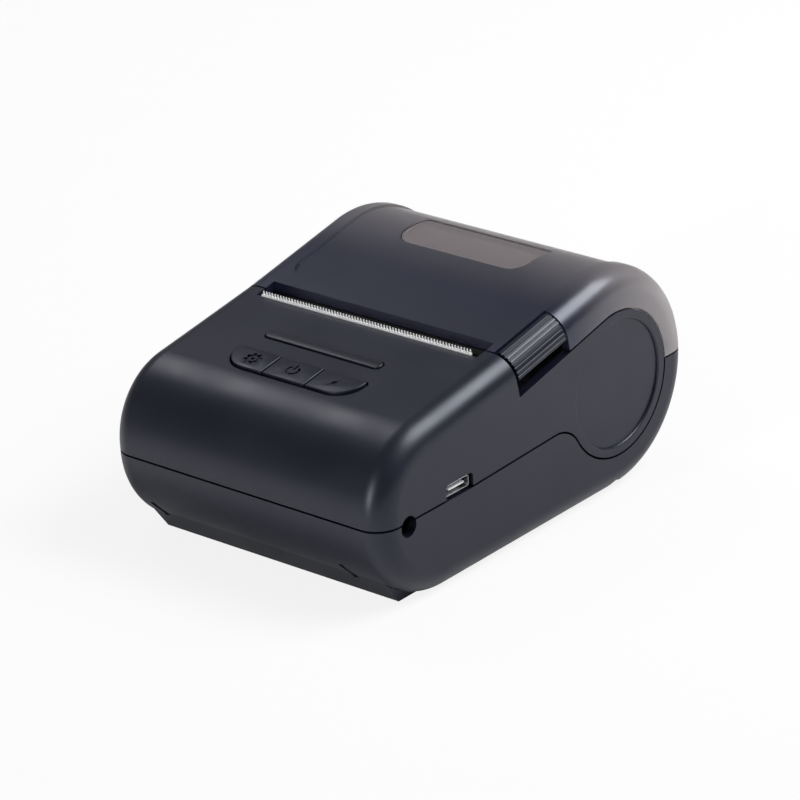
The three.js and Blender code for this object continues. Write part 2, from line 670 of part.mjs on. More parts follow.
function upperHousing() {
  const region = prismX(housingRegion(), -WIDTH, WIDTH);
  const strap = box(WIDTH / 2 - STRAP_PIN_BACK - STRAP_BLOCK_HALF, WIDTH / 2 - WALL / 2,
    STRAP_HOLE_Y - STRAP_PIN_R * 2, STRAP_HOLE_Y + STRAP_PIN_R * 2,
    STRAP_HOLE_Z + STRAP_HOLE_R, STRAP_HOLE_Z + STRAP_PIN_LONG);
  const mouth = box(-MOUTH_HALF, MOUTH_HALF, MOUTH_FRONT_Y, SEAM_Y + OVER * 2, HEIGHT / 2, HEIGHT);
  const pad = onHousing(padOutline(0).whole, -WALL * 2, OVER);
  const strip = onHousing(stripOutline(0), -WALL * 2, OVER);
  const usbReach = USB_LONG / 2 + FIT;
  const usb = box(WIDTH / 2 - WALL * 2, WIDTH / 2 + OVER, USB_Y - usbReach, USB_Y + usbReach,
    PARTING_Z, USB_LOW_Z + USB_HIGH + FIT);
  const pin = rodZ(WIDTH / 2 - STRAP_PIN_BACK, STRAP_HOLE_Y, STRAP_PIN_R + RUN,
    STRAP_HOLE_Z, STRAP_HOLE_Z + STRAP_PIN_LONG / 2 + FIT, SMALL_ROUND);
  const posts = hingeSides.map((side) => onHousing(
    circle(CONTROLS_X + side * KEY_POST_X, slopeY(KEY_POST_Y), POST_R), -KEY_BOARD_DEEP + FIT, -WALL / 2));
  const frontBosses = hingeSides.map((side) => rodZ(side * FRONT_SCREW_X, FRONT_SCREW_Y, FRONT_BOSS_R,
    BOARD_TOP_Z + FIT / 2, HEIGHT).intersect(outer));
  const rearBosses = hingeSides.map((side) => rodZ(side * REAR_SCREW_X, RING_Y, REAR_BOSS_R,
    REAR_BOSS_Z + FIT, REAR_BOSS_Z + REAR_BOSS_HIGH).intersect(outer));
  const screwHoles = screwSpots.map(({ x, y, sink, long }) => (
    rodZ(x, y, SCREW_SHANK_R + RUN, 0, sink + long + FIT)));
  const strapBlock = strap.intersect(outer).intersect(region);
  const body = join(skin.intersect(region), strapBlock, ...posts, ...frontBosses, ...rearBosses);
  return cut(body, mouth, pad, strip, usb, strapHole(), pin, ...ringRecess(), ...screwHoles);
}

// Key board hangs under the keys on two posts
const KEY_BOARD_DEEP = 6.6;
const KEY_POST_OUT = 3.6;
const KEY_POST_FRONT = 2.7;
const KEY_POST_X = PAD_HALF + KEY_POST_OUT;
const KEY_POST_Y = STRIP_LOW_Y - KEY_POST_FRONT;
const KEY_BOARD_HALF = KEY_POST_X + OVER;
const KEY_BOARD_FRONT_Y = PAD_LOW_Y - OVER;
const KEY_BOARD_PAST = 1.6;
const KEY_BOARD_BACK_Y = STRIP_TOP_Y + KEY_BOARD_PAST;
const SWITCH_HALF = 1.75;
const SWITCH_HIGH = KEY_BOARD_DEEP - KEY_BODY - KEY_TRAVEL - FIT;
const LED_HALF = 0.9;
const LED_HIGH = 1.2;
const keyYs = slopeY((PAD_LOW_Y + PAD_TOP_Y) / 2);
const keyMids = [-(PAD_HALF + KEY_SPLIT) / 2, 0, (PAD_HALF + KEY_SPLIT) / 2].map((x) => CONTROLS_X + x);

// Side view of what lies over the side line between two places along the cover's edge
function latchRegion(from, to, low) {
  const foot = (along) => {
    const [y, z] = meetSide(along, 0);
    return [y - COVER_SLOPE * low, z + low];
  };
  return [foot(from), foot(to), onSeam(to, PAST_SKIN), onSeam(from, PAST_SKIN)];
}

const latchAxisFrame = slopeFrame(COVER_SLOPE, SEAM_Y, SEAM_Z);
const latchRod = (radius, from, to, sides = SMALL_ROUND) => {
  const lying = new THREE.Matrix4().makeBasis(
    new THREE.Vector3(0, 0, 1), new THREE.Vector3(1, 0, 0), new THREE.Vector3(0, 1, 0));
  const frame = latchAxisFrame.clone().multiply(lying);
  return sweep(circle(-LATCH_AXIS_DEEP, LATCH_AXIS_X, radius, sides), from, to, frame);
};
const LATCH_ENDS = [SEAM / 2 + LATCH_GAP, SEAM / 2 + LATCH_LONG - LATCH_GAP];
const LUG_NEAR = LATCH_ENDS[0] + OVER;

function coverShell() {
  const region = prismX(coverRegion(), -WIDTH, WIDTH);
  let shell = skin.intersect(region);
  const pocketWall = box(LATCH_IN_X - LATCH_GAP - LATCH_POCKET_WALL, LATCH_IN_X - LATCH_GAP,
    SEAM_Y, SEAM_Y + LATCH_LONG + WALL, HEIGHT / 2, HEIGHT);
  shell = join(shell, pocketWall.intersect(region).intersect(outer));
  const pocket = latchRegion(-OVER, SEAM / 2 + LATCH_LONG, -OVER);
  shell = cut(shell, prismX(pocket, LATCH_IN_X - LATCH_GAP, WIDTH));
  const lugs = [LUG_NEAR, LATCH_ENDS[1] - OVER - LATCH_LUG_LONG].map((from) => {
    const lug = box(LATCH_IN_X - LATCH_GAP - LATCH_POCKET_WALL / 2, LATCH_AXIS_X - LATCH_PIN_R,
      from, from + LATCH_LUG_LONG,
      -LATCH_AXIS_DEEP - LATCH_LUG_R, -LATCH_AXIS_DEEP + LATCH_LUG_R, latchAxisFrame);
    return join(lug, latchRod(LATCH_LUG_R - FIT, from, from + LATCH_LUG_LONG));
  });
  shell = cut(join(shell, ...lugs), latchRod(LATCH_PIN_R + RUN / 2, -OVER, LATCH_LONG + OVER));
  shell = cut(shell, box(-MOUTH_HALF, MOUTH_HALF, SEAM_Y - OVER, MOUTH_BACK_Y, HEIGHT / 2, HEIGHT));
  const panelOutline = roundedRect(-PANEL_HALF, PANEL_HALF, PANEL_FRONT_Y, LENGTH, PANEL_CORNER_R);
  const panel = cut(bodyForm(-OVER), bodyForm(PANEL_DEEP))
    .intersect(sweep(panelOutline, RING_Z + BACK_R / 3, HEIGHT + OVER));
  const window = sweep(windowOutline(0), RING_Z, HEIGHT + OVER);
  shell = cut(shell, panel, window);
  const relief = box(-HINGE_RELIEF_HALF, HINGE_RELIEF_HALF, HINGE_Y - RUN, LENGTH,
    HEIGHT / 3, HINGE_Z + HINGE_RELIEF);
  shell = cut(shell, relief);
  for (const side of hingeSides) {
    const middle = side * HINGE_MID_X;
    const web = box(middle - COVER_KNUCKLE_LONG / 2, middle + COVER_KNUCKLE_LONG / 2,
      HINGE_Y - KNUCKLE_R, HINGE_Y + HINGE_INSET - RUN,
      HINGE_Z, HINGE_Z + HINGE_RELIEF + OVER).intersect(outer);
    shell = cut(join(shell, coverKnuckle(side), web), hingeBore(side),
      ...caseKnuckles(side, FIT / 2, KNUCKLE_R + FIT));
  }
  return shell;
}

const windowOutline = (shrink) => roundedRect(shrink - WINDOW_HALF, WINDOW_HALF - shrink,
  WINDOW_FRONT_Y + shrink, WINDOW_BACK_Y - shrink, WINDOW_CORNER_R - shrink, WINDOW_BACK_R - shrink);

function coverWindow() {
  const plug = cut(bodyForm(PANEL_DEEP), bodyForm(WALL + FIT + WINDOW_FLANGE_THICK))
    .intersect(sweep(windowOutline(FIT), RING_Z, HEIGHT + OVER));
  const flange = cut(bodyForm(WALL + FIT), bodyForm(WALL + FIT + WINDOW_FLANGE_THICK))
    .intersect(sweep(windowOutline(-WINDOW_FLANGE), RING_Z, HEIGHT + OVER));
  return join(plug, flange);
}

function latchLever() {
  const shape = prismX(latchRegion(...LATCH_ENDS, LATCH_RECESS), LATCH_IN_X, WIDTH);
  const lever = cut(outer, bodyForm(LATCH_SKIN)).intersect(shape);
  const earSpots = [LUG_NEAR + LATCH_LUG_LONG + FIT, LATCH_ENDS[1] - OVER - 2 * LATCH_LUG_LONG - FIT];
  const ears = earSpots.map((from) => {
    const web = box(LATCH_AXIS_X, WIDTH / 2 - LATCH_SKIN / 2, from, from + LATCH_LUG_LONG,
      -LATCH_AXIS_DEEP - LATCH_LUG_R, -LATCH_SKIN / 2, latchAxisFrame).intersect(outer);
    return join(web, latchRod(LATCH_LUG_R, from, from + LATCH_LUG_LONG).intersect(outer));
  });
  return cut(join(lever, ...ears), latchRod(LATCH_PIN_R + RUN / 2, -OVER, LATCH_LONG + OVER));
}

function latchPin() {
  return latchRod(LATCH_PIN_R, LUG_NEAR - FIT, LATCH_ENDS[1] - OVER + FIT);
}

function latchSpring() {
  const from = LUG_NEAR + 2 * LATCH_LUG_LONG + 2 * FIT;
  const to = LATCH_ENDS[1] - OVER - 2 * LATCH_LUG_LONG - 2 * FIT;
  return cut(latchRod(LATCH_SPRING_R, from, to), latchRod(LATCH_PIN_R + RUN, from - OVER, to + OVER));
}

// Keys: three plates in one opening, each on a hidden plunger
function key(index) {
  const { whole, low, high } = padOutline(FIT);
  const edges = [-PAD_HALF, -KEY_SPLIT, KEY_SPLIT, PAD_HALF].map((x) => CONTROLS_X + x);
  const slot = roundedRect(edges[index] + RUN, edges[index + 1] - RUN, low - OVER, high + OVER, RUN / 2);
  const cap = onHousing(whole, -WALL - RUN, KEY_PROUD).intersect(onHousing(slot, -BIG, BIG));
  const plunger = onHousing(circle(keyMids[index], keyYs, POST_R), -KEY_BODY - RUN, -WALL);
  return join(cap, plunger);
}

function lightStrip() {
  const bar = onHousing(stripOutline(FIT), -STRIP_BODY, STRIP_PROUD);
  const flange = onHousing(stripOutline(-OVER), -STRIP_BODY - OVER, -WALL - FIT);
  return join(bar, flange);
}

function keyBoard() {
  const outline = roundedRect(CONTROLS_X - KEY_BOARD_HALF, CONTROLS_X + KEY_BOARD_HALF,
    slopeY(KEY_BOARD_FRONT_Y), slopeY(KEY_BOARD_BACK_Y), OVER);
  return onHousing(outline, -KEY_BOARD_DEEP - BOARD_THICK, -KEY_BOARD_DEEP);
}

function keySwitch(index) {
  const x = keyMids[index];
  const can = box(x - SWITCH_HALF, x + SWITCH_HALF, keyYs - SWITCH_HALF, keyYs + SWITCH_HALF,
    -KEY_BOARD_DEEP, -KEY_BOARD_DEEP + SWITCH_HIGH / 2, housingFrame);
  const stem = onHousing(circle(x, keyYs, SWITCH_HALF / 2), -KEY_BOARD_DEEP + SWITCH_HIGH / 4,
    -KEY_BOARD_DEEP + SWITCH_HIGH - RUN);
  return join(can, stem);
}

function statusLed(index) {
  const x = CONTROLS_X + (index - 1) * STRIP_HALF / 2;
  const y = slopeY((STRIP_LOW_Y + STRIP_TOP_Y) / 2);
  return box(x - LED_HALF, x + LED_HALF, y - LED_HALF, y + LED_HALF,
    -KEY_BOARD_DEEP, -KEY_BOARD_DEEP + LED_HIGH, housingFrame);
}

function keyBoardScrew(side) {
  const x = CONTROLS_X + side * KEY_POST_X;
  const y = slopeY(KEY_POST_Y);
  const under = -KEY_BOARD_DEEP - BOARD_THICK;
  const head = onHousing(circle(x, y, POST_R), under - OVER, under);
  return head;
}

// Case screws, boards, socket and battery
function caseScrew({ x, y, sink, long }) {
  const head = rodZ(x, y, SCREW_HEAD_R, sink, sink + SCREW_HEAD_HIGH, ROUND);
  const shank = rodZ(x, y, SCREW_SHANK_R, sink, sink + long);
  const reach = SCREW_HEAD_R * CROSS_SHARE;
  const slots = [[reach, FIT], [FIT, reach]].map(([a, b]) => box(x - a, x + a, y - b, y + b,
    0, sink + SCREW_HEAD_HIGH / 2));
  return cut(join(head, shank), ...slots);
}

function mainBoard() {
  const plate = box(-BOARD_HALF, BOARD_HALF, BOARD_FRONT_Y, BOARD_BACK_Y,
    BOARD_TOP_Z - BOARD_THICK, BOARD_TOP_Z);
  const cornerR = STRAP_PIN_BACK + STRAP_HOLE_R + FIT;
  const corners = hingeSides.map((side) => rodZ(side * WIDTH / 2, STRAP_HOLE_Y, cornerR, 0, HEIGHT, ROUND));
  const holes = hingeSides.map((side) => (
    rodZ(side * FRONT_SCREW_X, FRONT_SCREW_Y, SCREW_SHANK_R + FIT, 0, HEIGHT)));
  return cut(plate, ...corners, ...holes);
}

function usbSocket() {
  const wallX = WIDTH / 2 - USB_SET_BACK;
  const shell = box(wallX - USB_DEEP, wallX, USB_Y - USB_LONG / 2, USB_Y + USB_LONG / 2,
    USB_LOW_Z, USB_LOW_Z + USB_HIGH);
  const bore = box(wallX - USB_DEEP + USB_WALL * 2, wallX + OVER, USB_Y - USB_LONG / 2 + USB_WALL,
    USB_Y + USB_LONG / 2 - USB_WALL, USB_LOW_Z + USB_WALL, USB_LOW_Z + USB_HIGH - USB_WALL);
  const middle = USB_LOW_Z + USB_HIGH / 2;
  const tongue = box(wallX - USB_DEEP + USB_WALL, wallX - USB_WALL,
    USB_Y - USB_LONG / 4, USB_Y + USB_LONG / 4,
    middle - USB_TONGUE / 2, middle + USB_TONGUE / 2);
  return join(cut(shell, bore), tongue);
}

function radioModule() {
  const x0 = FRONT_BOSS_R + OVER - FRONT_SCREW_X;
  const y0 = BOARD_FRONT_Y + RADIO_EDGE;
  return box(x0, x0 + RADIO_LONG, y0, y0 + RADIO_WIDE, BOARD_TOP_Z, BOARD_TOP_Z + RADIO_HIGH);
}

function battery() {
  const outline = roundedRect(-BATTERY_HALF, BATTERY_HALF, BATTERY_FRONT_Y, BATTERY_BACK_Y, DOOR_RIM);
  return sweep(outline, WALL + 2 * FIT, WALL + 2 * FIT + BATTERY_HIGH);
}

function batteryCover() {
  const rim = FIT;
  const plate = sweep(roundedRect(rim - DOOR_HALF, DOOR_HALF - rim, DOOR_FRONT_Y + rim, DOOR_BACK_Y - rim,
    DOOR_RIM - rim), 0, DOOR_THICK);
  const grip = box(-DOOR_HALF / 3, DOOR_HALF / 3, DOOR_FRONT_Y + DOOR_RIM, DOOR_FRONT_Y + DOOR_RIM * 2,
    -OVER, DOOR_THICK / 2);
  return cut(plate, grip);
}

const strapPin = () => rodZ(WIDTH / 2 - STRAP_PIN_BACK, STRAP_HOLE_Y, STRAP_PIN_R,
  STRAP_HOLE_Z - STRAP_PIN_LONG / 2, STRAP_HOLE_Z + STRAP_PIN_LONG / 2);

// Platen in its holder under the cover's lip
function platenHolder() {
  const top = cut(bodyForm(WALL + FIT), bodyForm(WALL + FIT + HOLDER_THICK));
  const plate = top.intersect(box(-ARM_OUT, ARM_OUT, MOUTH_BACK_Y, HOLDER_BACK_Y, HEIGHT / 2, HEIGHT));
  const armTop = coverTop(PLATEN_Y) - WALL - FIT - HOLDER_THICK / 2;
  const arms = hingeSides.map((side) => {
    const x0 = side > 0 ? ARM_IN : -ARM_OUT;
    const x1 = side > 0 ? ARM_OUT : -ARM_IN;
    const arm = prismX([
      [MOUTH_BACK_Y, armTop], [PLATEN_Y - BUSH_R - HOLDER_THICK, PLATEN_Z],
      [PLATEN_Y - BUSH_R, PLATEN_Z - BUSH_R], [PLATEN_Y + BUSH_R, PLATEN_Z - BUSH_R - HOLDER_THICK],
      [PLATEN_Y + BUSH_R + HOLDER_THICK, PLATEN_Z], [HOLDER_BACK_Y, armTop],
    ], x0, x1);
    return cut(arm, rodX(PLATEN_Y, PLATEN_Z, BUSH_R + PRESS_PLAY, -WIDTH, WIDTH, ROUND));
  });
  return join(plate, ...arms);
}

function platenBush(side) {
  const x0 = side * (ARM_IN - FIT);
  const x1 = side * (ARM_IN - FIT + BUSH_LONG);
  const ring = rodX(PLATEN_Y, PLATEN_Z, BUSH_R, Math.min(x0, x1), Math.max(x0, x1), ROUND);
  return cut(ring, rodX(PLATEN_Y, PLATEN_Z, SHAFT_R + RUN, -WIDTH, WIDTH, ROUND));
}

const platenShaft = () => rodX(PLATEN_Y, PLATEN_Z, SHAFT_R, -SHAFT_LEFT, ARM_OUT, ROUND);

function platenRoller() {
  return cut(rodX(PLATEN_Y, PLATEN_Z, PLATEN_R, -PLATEN_HALF, PLATEN_HALF, ROUND * 2),
    rodX(PLATEN_Y, PLATEN_Z, SHAFT_R + PRESS_PLAY, -WIDTH, WIDTH, ROUND));
}

// Spur gears of one module; each tooth is a tapered block, narrower than half a pitch
function gearOutline(teeth, cy, cz, turnDeg) {
  const pitch = MODULE * teeth / 2;
  const root = pitch - MODULE * ROOT_DEPTH_SHARE;
  const tip = pitch + MODULE * TIP_HEIGHT_SHARE;
  const points = [];
  for (let i = 0; i < teeth; i += 1) {
    const middle = THREE.MathUtils.degToRad(turnDeg) + 2 * Math.PI * i / teeth;
    const step = 2 * Math.PI / teeth;
    const flanks = [[root, -ROOT_SHARE], [tip, -TIP_SHARE], [tip, TIP_SHARE], [root, ROOT_SHARE]];
    for (const [radius, share] of flanks) {
      const angle = middle + step * share;
      points.push([cy + radius * Math.cos(angle), cz + radius * Math.sin(angle)]);
    }
  }
  return points;
}

const apart = (a, b) => MODULE * (a + b) / 2 + MESH_PLAY;
const polar = (y, z, distance, deg) => {
  const angle = THREE.MathUtils.degToRad(deg);
  return [y + distance * Math.cos(angle), z + distance * Math.sin(angle)];
};
const [IDLER_Y, IDLER_Z] = polar(PLATEN_Y, PLATEN_Z, apart(PLATEN_TEETH, IDLER_TEETH), IDLER_DEG);
const [MOTOR_Y, MOTOR_Z] = polar(IDLER_Y, IDLER_Z, apart(IDLER_TEETH, PINION_TEETH), PINION_DEG);

function gear(teeth, y, z, turnDeg, boreR, x0, x1) {
  return cut(prismX(gearOutline(teeth, y, z, turnDeg), x0, x1), rodX(y, z, boreR, -WIDTH, WIDTH, ROUND));
}

const GEAR_X0 = GEAR_X - GEAR_THICK;
const idlerTurn = IDLER_DEG + 180 + 180 / IDLER_TEETH;
const platenGear = () => (
  gear(PLATEN_TEETH, PLATEN_Y, PLATEN_Z, IDLER_DEG, SHAFT_R + PRESS_PLAY, GEAR_X0, GEAR_X));
const idlerGear = () => gear(IDLER_TEETH, IDLER_Y, IDLER_Z, idlerTurn, STUD_R + RUN, GEAR_X0, GEAR_X);

// The pinion's gap faces the idler tooth nearest the line of centres
function pinionTurn() {
  const step = 360 / IDLER_TEETH;
  const offset = (PINION_DEG - idlerTurn) - Math.round((PINION_DEG - idlerTurn) / step) * step;
  return PINION_DEG + 180 + 180 / PINION_TEETH + offset * IDLER_TEETH / PINION_TEETH;
}

const motorPinion = () => (
  gear(PINION_TEETH, MOTOR_Y, MOTOR_Z, pinionTurn(), MOTOR_SHAFT_R + PRESS_PLAY, GEAR_X0, GEAR_X));

function idlerStud() {
  return join(rodX(IDLER_Y, IDLER_Z, STUD_R, GEAR_X0 - FIT, -FRAME_HALF),
    rodX(IDLER_Y, IDLER_Z, STUD_R * 2, GEAR_X0 - FIT - GEAR_THICK / 2, GEAR_X0 - FIT));
}

const MOTOR_FACE_X = FRAME_WALL - FRAME_HALF + FIT;
const stepperMotor = () => rodX(MOTOR_Y, MOTOR_Z, MOTOR_R, MOTOR_FACE_X, MOTOR_FACE_X + MOTOR_LONG, ROUND);
const motorShaft = () => rodX(MOTOR_Y, MOTOR_Z, MOTOR_SHAFT_R, GEAR_X0 - FIT, MOTOR_FACE_X - FIT, ROUND);

// Frame that carries head, springs, motor and idler between the case walls
const HEAD_FACE_Y = PLATEN_Y - PLATEN_R - FIT;
const SINK_FACE_Y = HEAD_FACE_Y - HEAD_THICK;
const FRAME_FACE_Y = SINK_FACE_Y - SINK_THICK - HEAD_SPRING_LONG - 2 * RUN;

function mechanismFrame() {
  const front = MOTOR_Y - MOTOR_R;
  const foot = WALL + FIT;
  const wallOutline = [
    [front, foot], [FRAME_BACK_Y, foot], [FRAME_BACK_Y, FRAME_STEP_Z], [HEAD_FACE_Y, FRAME_STEP_Z],
    [HEAD_FACE_Y, HEAD_HIGH_Z], [SINK_FACE_Y, FRAME_HIGH_Z], [FRAME_FACE_Y - FRAME_WALL, FRAME_HIGH_Z],
  ];
  const walls = hingeSides.map((side) => prismX(wallOutline,
    side > 0 ? FRAME_HALF - FRAME_WALL : -FRAME_HALF, side > 0 ? FRAME_HALF : FRAME_WALL - FRAME_HALF));
  const back = box(-FRAME_HALF, FRAME_HALF, FRAME_FACE_Y - FRAME_WALL, FRAME_FACE_Y,
    SINK_LOW_Z + FIT, FRAME_HIGH_Z);
  return cut(join(back, ...walls), rodX(MOTOR_Y, MOTOR_Z, MOTOR_SHAFT_R + FIT, -WIDTH, 0));
}

const printHead = () => box(-HEAD_HALF, HEAD_HALF, SINK_FACE_Y, HEAD_FACE_Y, HEAD_LOW_Z, HEAD_HIGH_Z);
const heatSink = () => (
  box(-SINK_HALF, SINK_HALF, SINK_FACE_Y - SINK_THICK, SINK_FACE_Y, SINK_LOW_Z, HEAD_HIGH_Z));
const SPRING_Z = (SINK_LOW_Z + HEAD_HIGH_Z) / 2;

function headSpring(side) {
  const frame = new THREE.Matrix4().makeBasis(
    new THREE.Vector3(0, 0, 1), new THREE.Vector3(1, 0, 0), new THREE.Vector3(0, 1, 0));
  const y0 = FRAME_FACE_Y + RUN;
  const y1 = y0 + HEAD_SPRING_LONG;
  const ring = (radius) => circle(SPRING_Z, side * HEAD_SPRING_X, radius, ROUND);
  const bore = sweep(ring(HEAD_SPRING_R / 2), y0 - OVER, y1 + OVER, frame);
  return cut(sweep(ring(HEAD_SPRING_R), y0, y1, frame), bore);
}

// Tear bar: an angle strip on the frame, its upright edge toothed
function tearBar() {
  const pitch = 2 * BLADE_HALF / TEETH;
  const low = FRAME_HIGH_Z + FIT;
  const edge = [[-BLADE_HALF, low], [BLADE_HALF, low]];
  for (let i = TEETH; i > 0; i -= 1) {
    const x = -BLADE_HALF + pitch * i;
    edge.push([x, BLADE_TOP_Z - BLADE_TOOTH], [x - pitch / 2, BLADE_TOP_Z]);
  }
  edge.push([-BLADE_HALF, BLADE_TOP_Z - BLADE_TOOTH]);
  const upright = new THREE.Matrix4().makeBasis(
    new THREE.Vector3(1, 0, 0), new THREE.Vector3(0, 0, 1), new THREE.Vector3(0, -1, 0));
  const blade = sweep(edge, -BLADE_Y, -BLADE_Y + BLADE_THICK, upright);
  const foot = box(-BLADE_HALF, BLADE_HALF, FRAME_FACE_Y - FRAME_WALL, BLADE_Y, low, low + BLADE_THICK);
  return join(blade, foot);
}

// Paper bin: a trough round the roll with two end walls
function paperBin() {
  const outside = arc(RING_Y, RING_Z, BIN_OUTER_R, BIN_FRONT_DEG, 360 + BIN_END_DEG, BACK_STEPS);
  const inside = arc(RING_Y, RING_Z, BIN_R, 360 + BIN_END_DEG, BIN_FRONT_DEG, BACK_STEPS);
  const trough = prismX([...outside, ...inside], -BIN_HALF, BIN_HALF);
  const ends = hingeSides.map((side) => prismX(outside,
    side > 0 ? BIN_HALF : -BIN_HALF - BIN_WALL, side > 0 ? BIN_HALF + BIN_WALL : -BIN_HALF));
  return join(trough, ...ends);
}

function paperSensor() {
  const back = RING_Y - BIN_R - BIN_WALL - FIT;
  return box(-SENSOR_SIZE / 2, SENSOR_SIZE / 2, back - SENSOR_SIZE / 2, back, RING_Z - SENSOR_SIZE, RING_Z);
}

const sideName = (side) => (side < 0 ? 'left' : 'right');
piece('lower_shell', FINISH.shell, lowerShell());
piece('upper_housing', FINISH.shell, upperHousing());
piece('battery_cover', FINISH.shell, batteryCover());
piece('battery_pack', FINISH.cell, battery());
piece('main_board', FINISH.board, mainBoard());
piece('radio_module', FINISH.zinc, radioModule());
piece('usb_socket', FINISH.steel, usbSocket());
piece('strap_pin', FINISH.steel, strapPin());
screwSpots.forEach((spot) => piece(`case_screw_${spot.name}`, FINISH.zinc, caseScrew(spot)));

piece('key_board', FINISH.board, keyBoard());
['settings', 'power', 'feed'].forEach((name, index) => {
  piece(`key_${name}`, FINISH.key, key(index));
  piece(`switch_${name}`, FINISH.zinc, keySwitch(index));
});
['left', 'middle', 'right'].forEach((name, index) => {
  piece(`status_led_${name}`, FINISH.lens, statusLed(index));
});
piece('light_strip', FINISH.lens, lightStrip());

piece('mechanism_frame', FINISH.zinc, mechanismFrame());
piece('print_head', FINISH.ceramic, printHead());
piece('head_heat_sink', FINISH.alloy, heatSink());
piece('tear_bar', FINISH.blade, tearBar());
piece('stepper_motor', FINISH.zinc, stepperMotor());
piece('motor_shaft', FINISH.steel, motorShaft());
piece('motor_pinion', FINISH.acetal, motorPinion());
piece('idler_stud', FINISH.steel, idlerStud());
piece('idler_gear', FINISH.acetal, idlerGear());
piece('paper_bin', FINISH.dark, paperBin());
piece('paper_sensor', FINISH.dark, paperSensor());

piece('cover', FINISH.cover, coverShell());
piece('cover_window', FINISH.window, coverWindow());
piece('platen_holder', FINISH.dark, platenHolder());
piece('platen_shaft', FINISH.steel, platenShaft());
piece('platen_roller', FINISH.rubber, platenRoller());
piece('platen_gear', FINISH.acetal, platenGear());
piece('latch_lever', FINISH.dark, latchLever());
piece('latch_pin', FINISH.steel, latchPin());
piece('latch_spring', FINISH.steel, latchSpring());
for (const side of hingeSides) {
  piece(`key_board_screw_${sideName(side)}`, FINISH.zinc, keyBoardScrew(side));
  piece(`head_spring_${sideName(side)}`, FINISH.steel, headSpring(side));
  piece(`platen_bush_${sideName(side)}`, FINISH.acetal, platenBush(side));
  piece(`hinge_pin_${sideName(side)}`, FINISH.steel, rodX(HINGE_Y, HINGE_Z, HINGE_PIN_R,
    side * HINGE_MID_X - PIN_HALF, side * HINGE_MID_X + PIN_HALF));
}

// The knuckles stand proud at the back, so half of that puts the origin under the middle of the whole
parts.position.y = -(KNUCKLE_R - HINGE_INSET) / 2;

export default parts;
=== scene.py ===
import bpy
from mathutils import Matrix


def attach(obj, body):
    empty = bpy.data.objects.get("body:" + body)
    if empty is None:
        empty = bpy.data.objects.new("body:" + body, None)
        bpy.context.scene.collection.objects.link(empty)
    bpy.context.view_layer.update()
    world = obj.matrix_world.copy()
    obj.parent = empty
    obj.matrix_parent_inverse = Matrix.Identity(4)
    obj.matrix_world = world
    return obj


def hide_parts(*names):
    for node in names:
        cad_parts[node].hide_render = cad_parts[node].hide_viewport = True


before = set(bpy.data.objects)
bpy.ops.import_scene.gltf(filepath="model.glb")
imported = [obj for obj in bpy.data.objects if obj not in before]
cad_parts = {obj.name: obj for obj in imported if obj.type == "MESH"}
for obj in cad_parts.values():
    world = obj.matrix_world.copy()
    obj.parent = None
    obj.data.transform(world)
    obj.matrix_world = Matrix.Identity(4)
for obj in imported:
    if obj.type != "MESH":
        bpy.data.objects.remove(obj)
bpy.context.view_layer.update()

import math

import bmesh
import bpy
from bpy.props import FloatProperty, FloatVectorProperty, IntProperty, PointerProperty
from mathutils import Matrix, Vector

bl_info = {
    "name": "Portable receipt printer",
    "version": (1, 0, 0),
    "blender": (4, 5, 0),
    "location": "3D View > Sidebar > Printer",
    "description": "Dresses the printer's frame with moulded shells, controls, paper drive and a photo stage",
    "category": "Object",
}

# Lengths in this file are millimetres, measured from under the middle of the body as in the source
MM = 0.001
# The hinge knuckles stand out this far behind the body, and the frame is centred on both together
BACK_STANDS_OUT = 0.8


def linear(text):
    """An sRGB colour written as hex, as linear red, green and blue."""
    parts = [int(text[i:i + 2], 16) / 255 for i in (1, 3, 5)]
    return tuple(c / 12.92 if c <= 0.04045 else ((c + 0.055) / 1.055) ** 2.4 for c in parts)


def length(name, value, description):
    """A length property, kept in metres as Blender does, from a size in millimetres."""
    return FloatProperty(name=name, description=description, default=value * MM, min=0, unit="LENGTH",
                         precision=5)


def colour(name, text, description):
    """A colour property from an sRGB hex value."""
    return FloatVectorProperty(name=name, description=description, default=linear(text), subtype="COLOR",
                               min=0, max=1)


class PrinterSizes(bpy.types.PropertyGroup):
    """Sizes that shape the printer's body."""

    width: length("Width", 73, "Across the paper, outside the case")
    depth: length("Depth", 100, "Front face to back")
    height: length("Height", 48.5, "Table to the top of the back, also twice the back's radius")
    wall: length("Wall", 2, "Thickness of the moulded walls")
    edge: length("Edge radius", 5.3, "Rounding between the side panels and the rest")
    seam: length("Seam", 0.45, "Gap between case halves and cover")
    parting: length("Parting height", 19.5, "Height of the line between the case halves at the front")
    panel_deep: length("Panel depth", 0.45, "How far the cover's middle panel lies below its rim")
    ring: length("Ring radius", 13.7, "Radius of the round recess in each side")
    ring_seam: length("Ring seam radius", 15.9, "Radius of the seam round the recess")
    ribs: IntProperty(name="Latch ribs", description="Finger ribs along the latch", default=9, min=1, max=20)


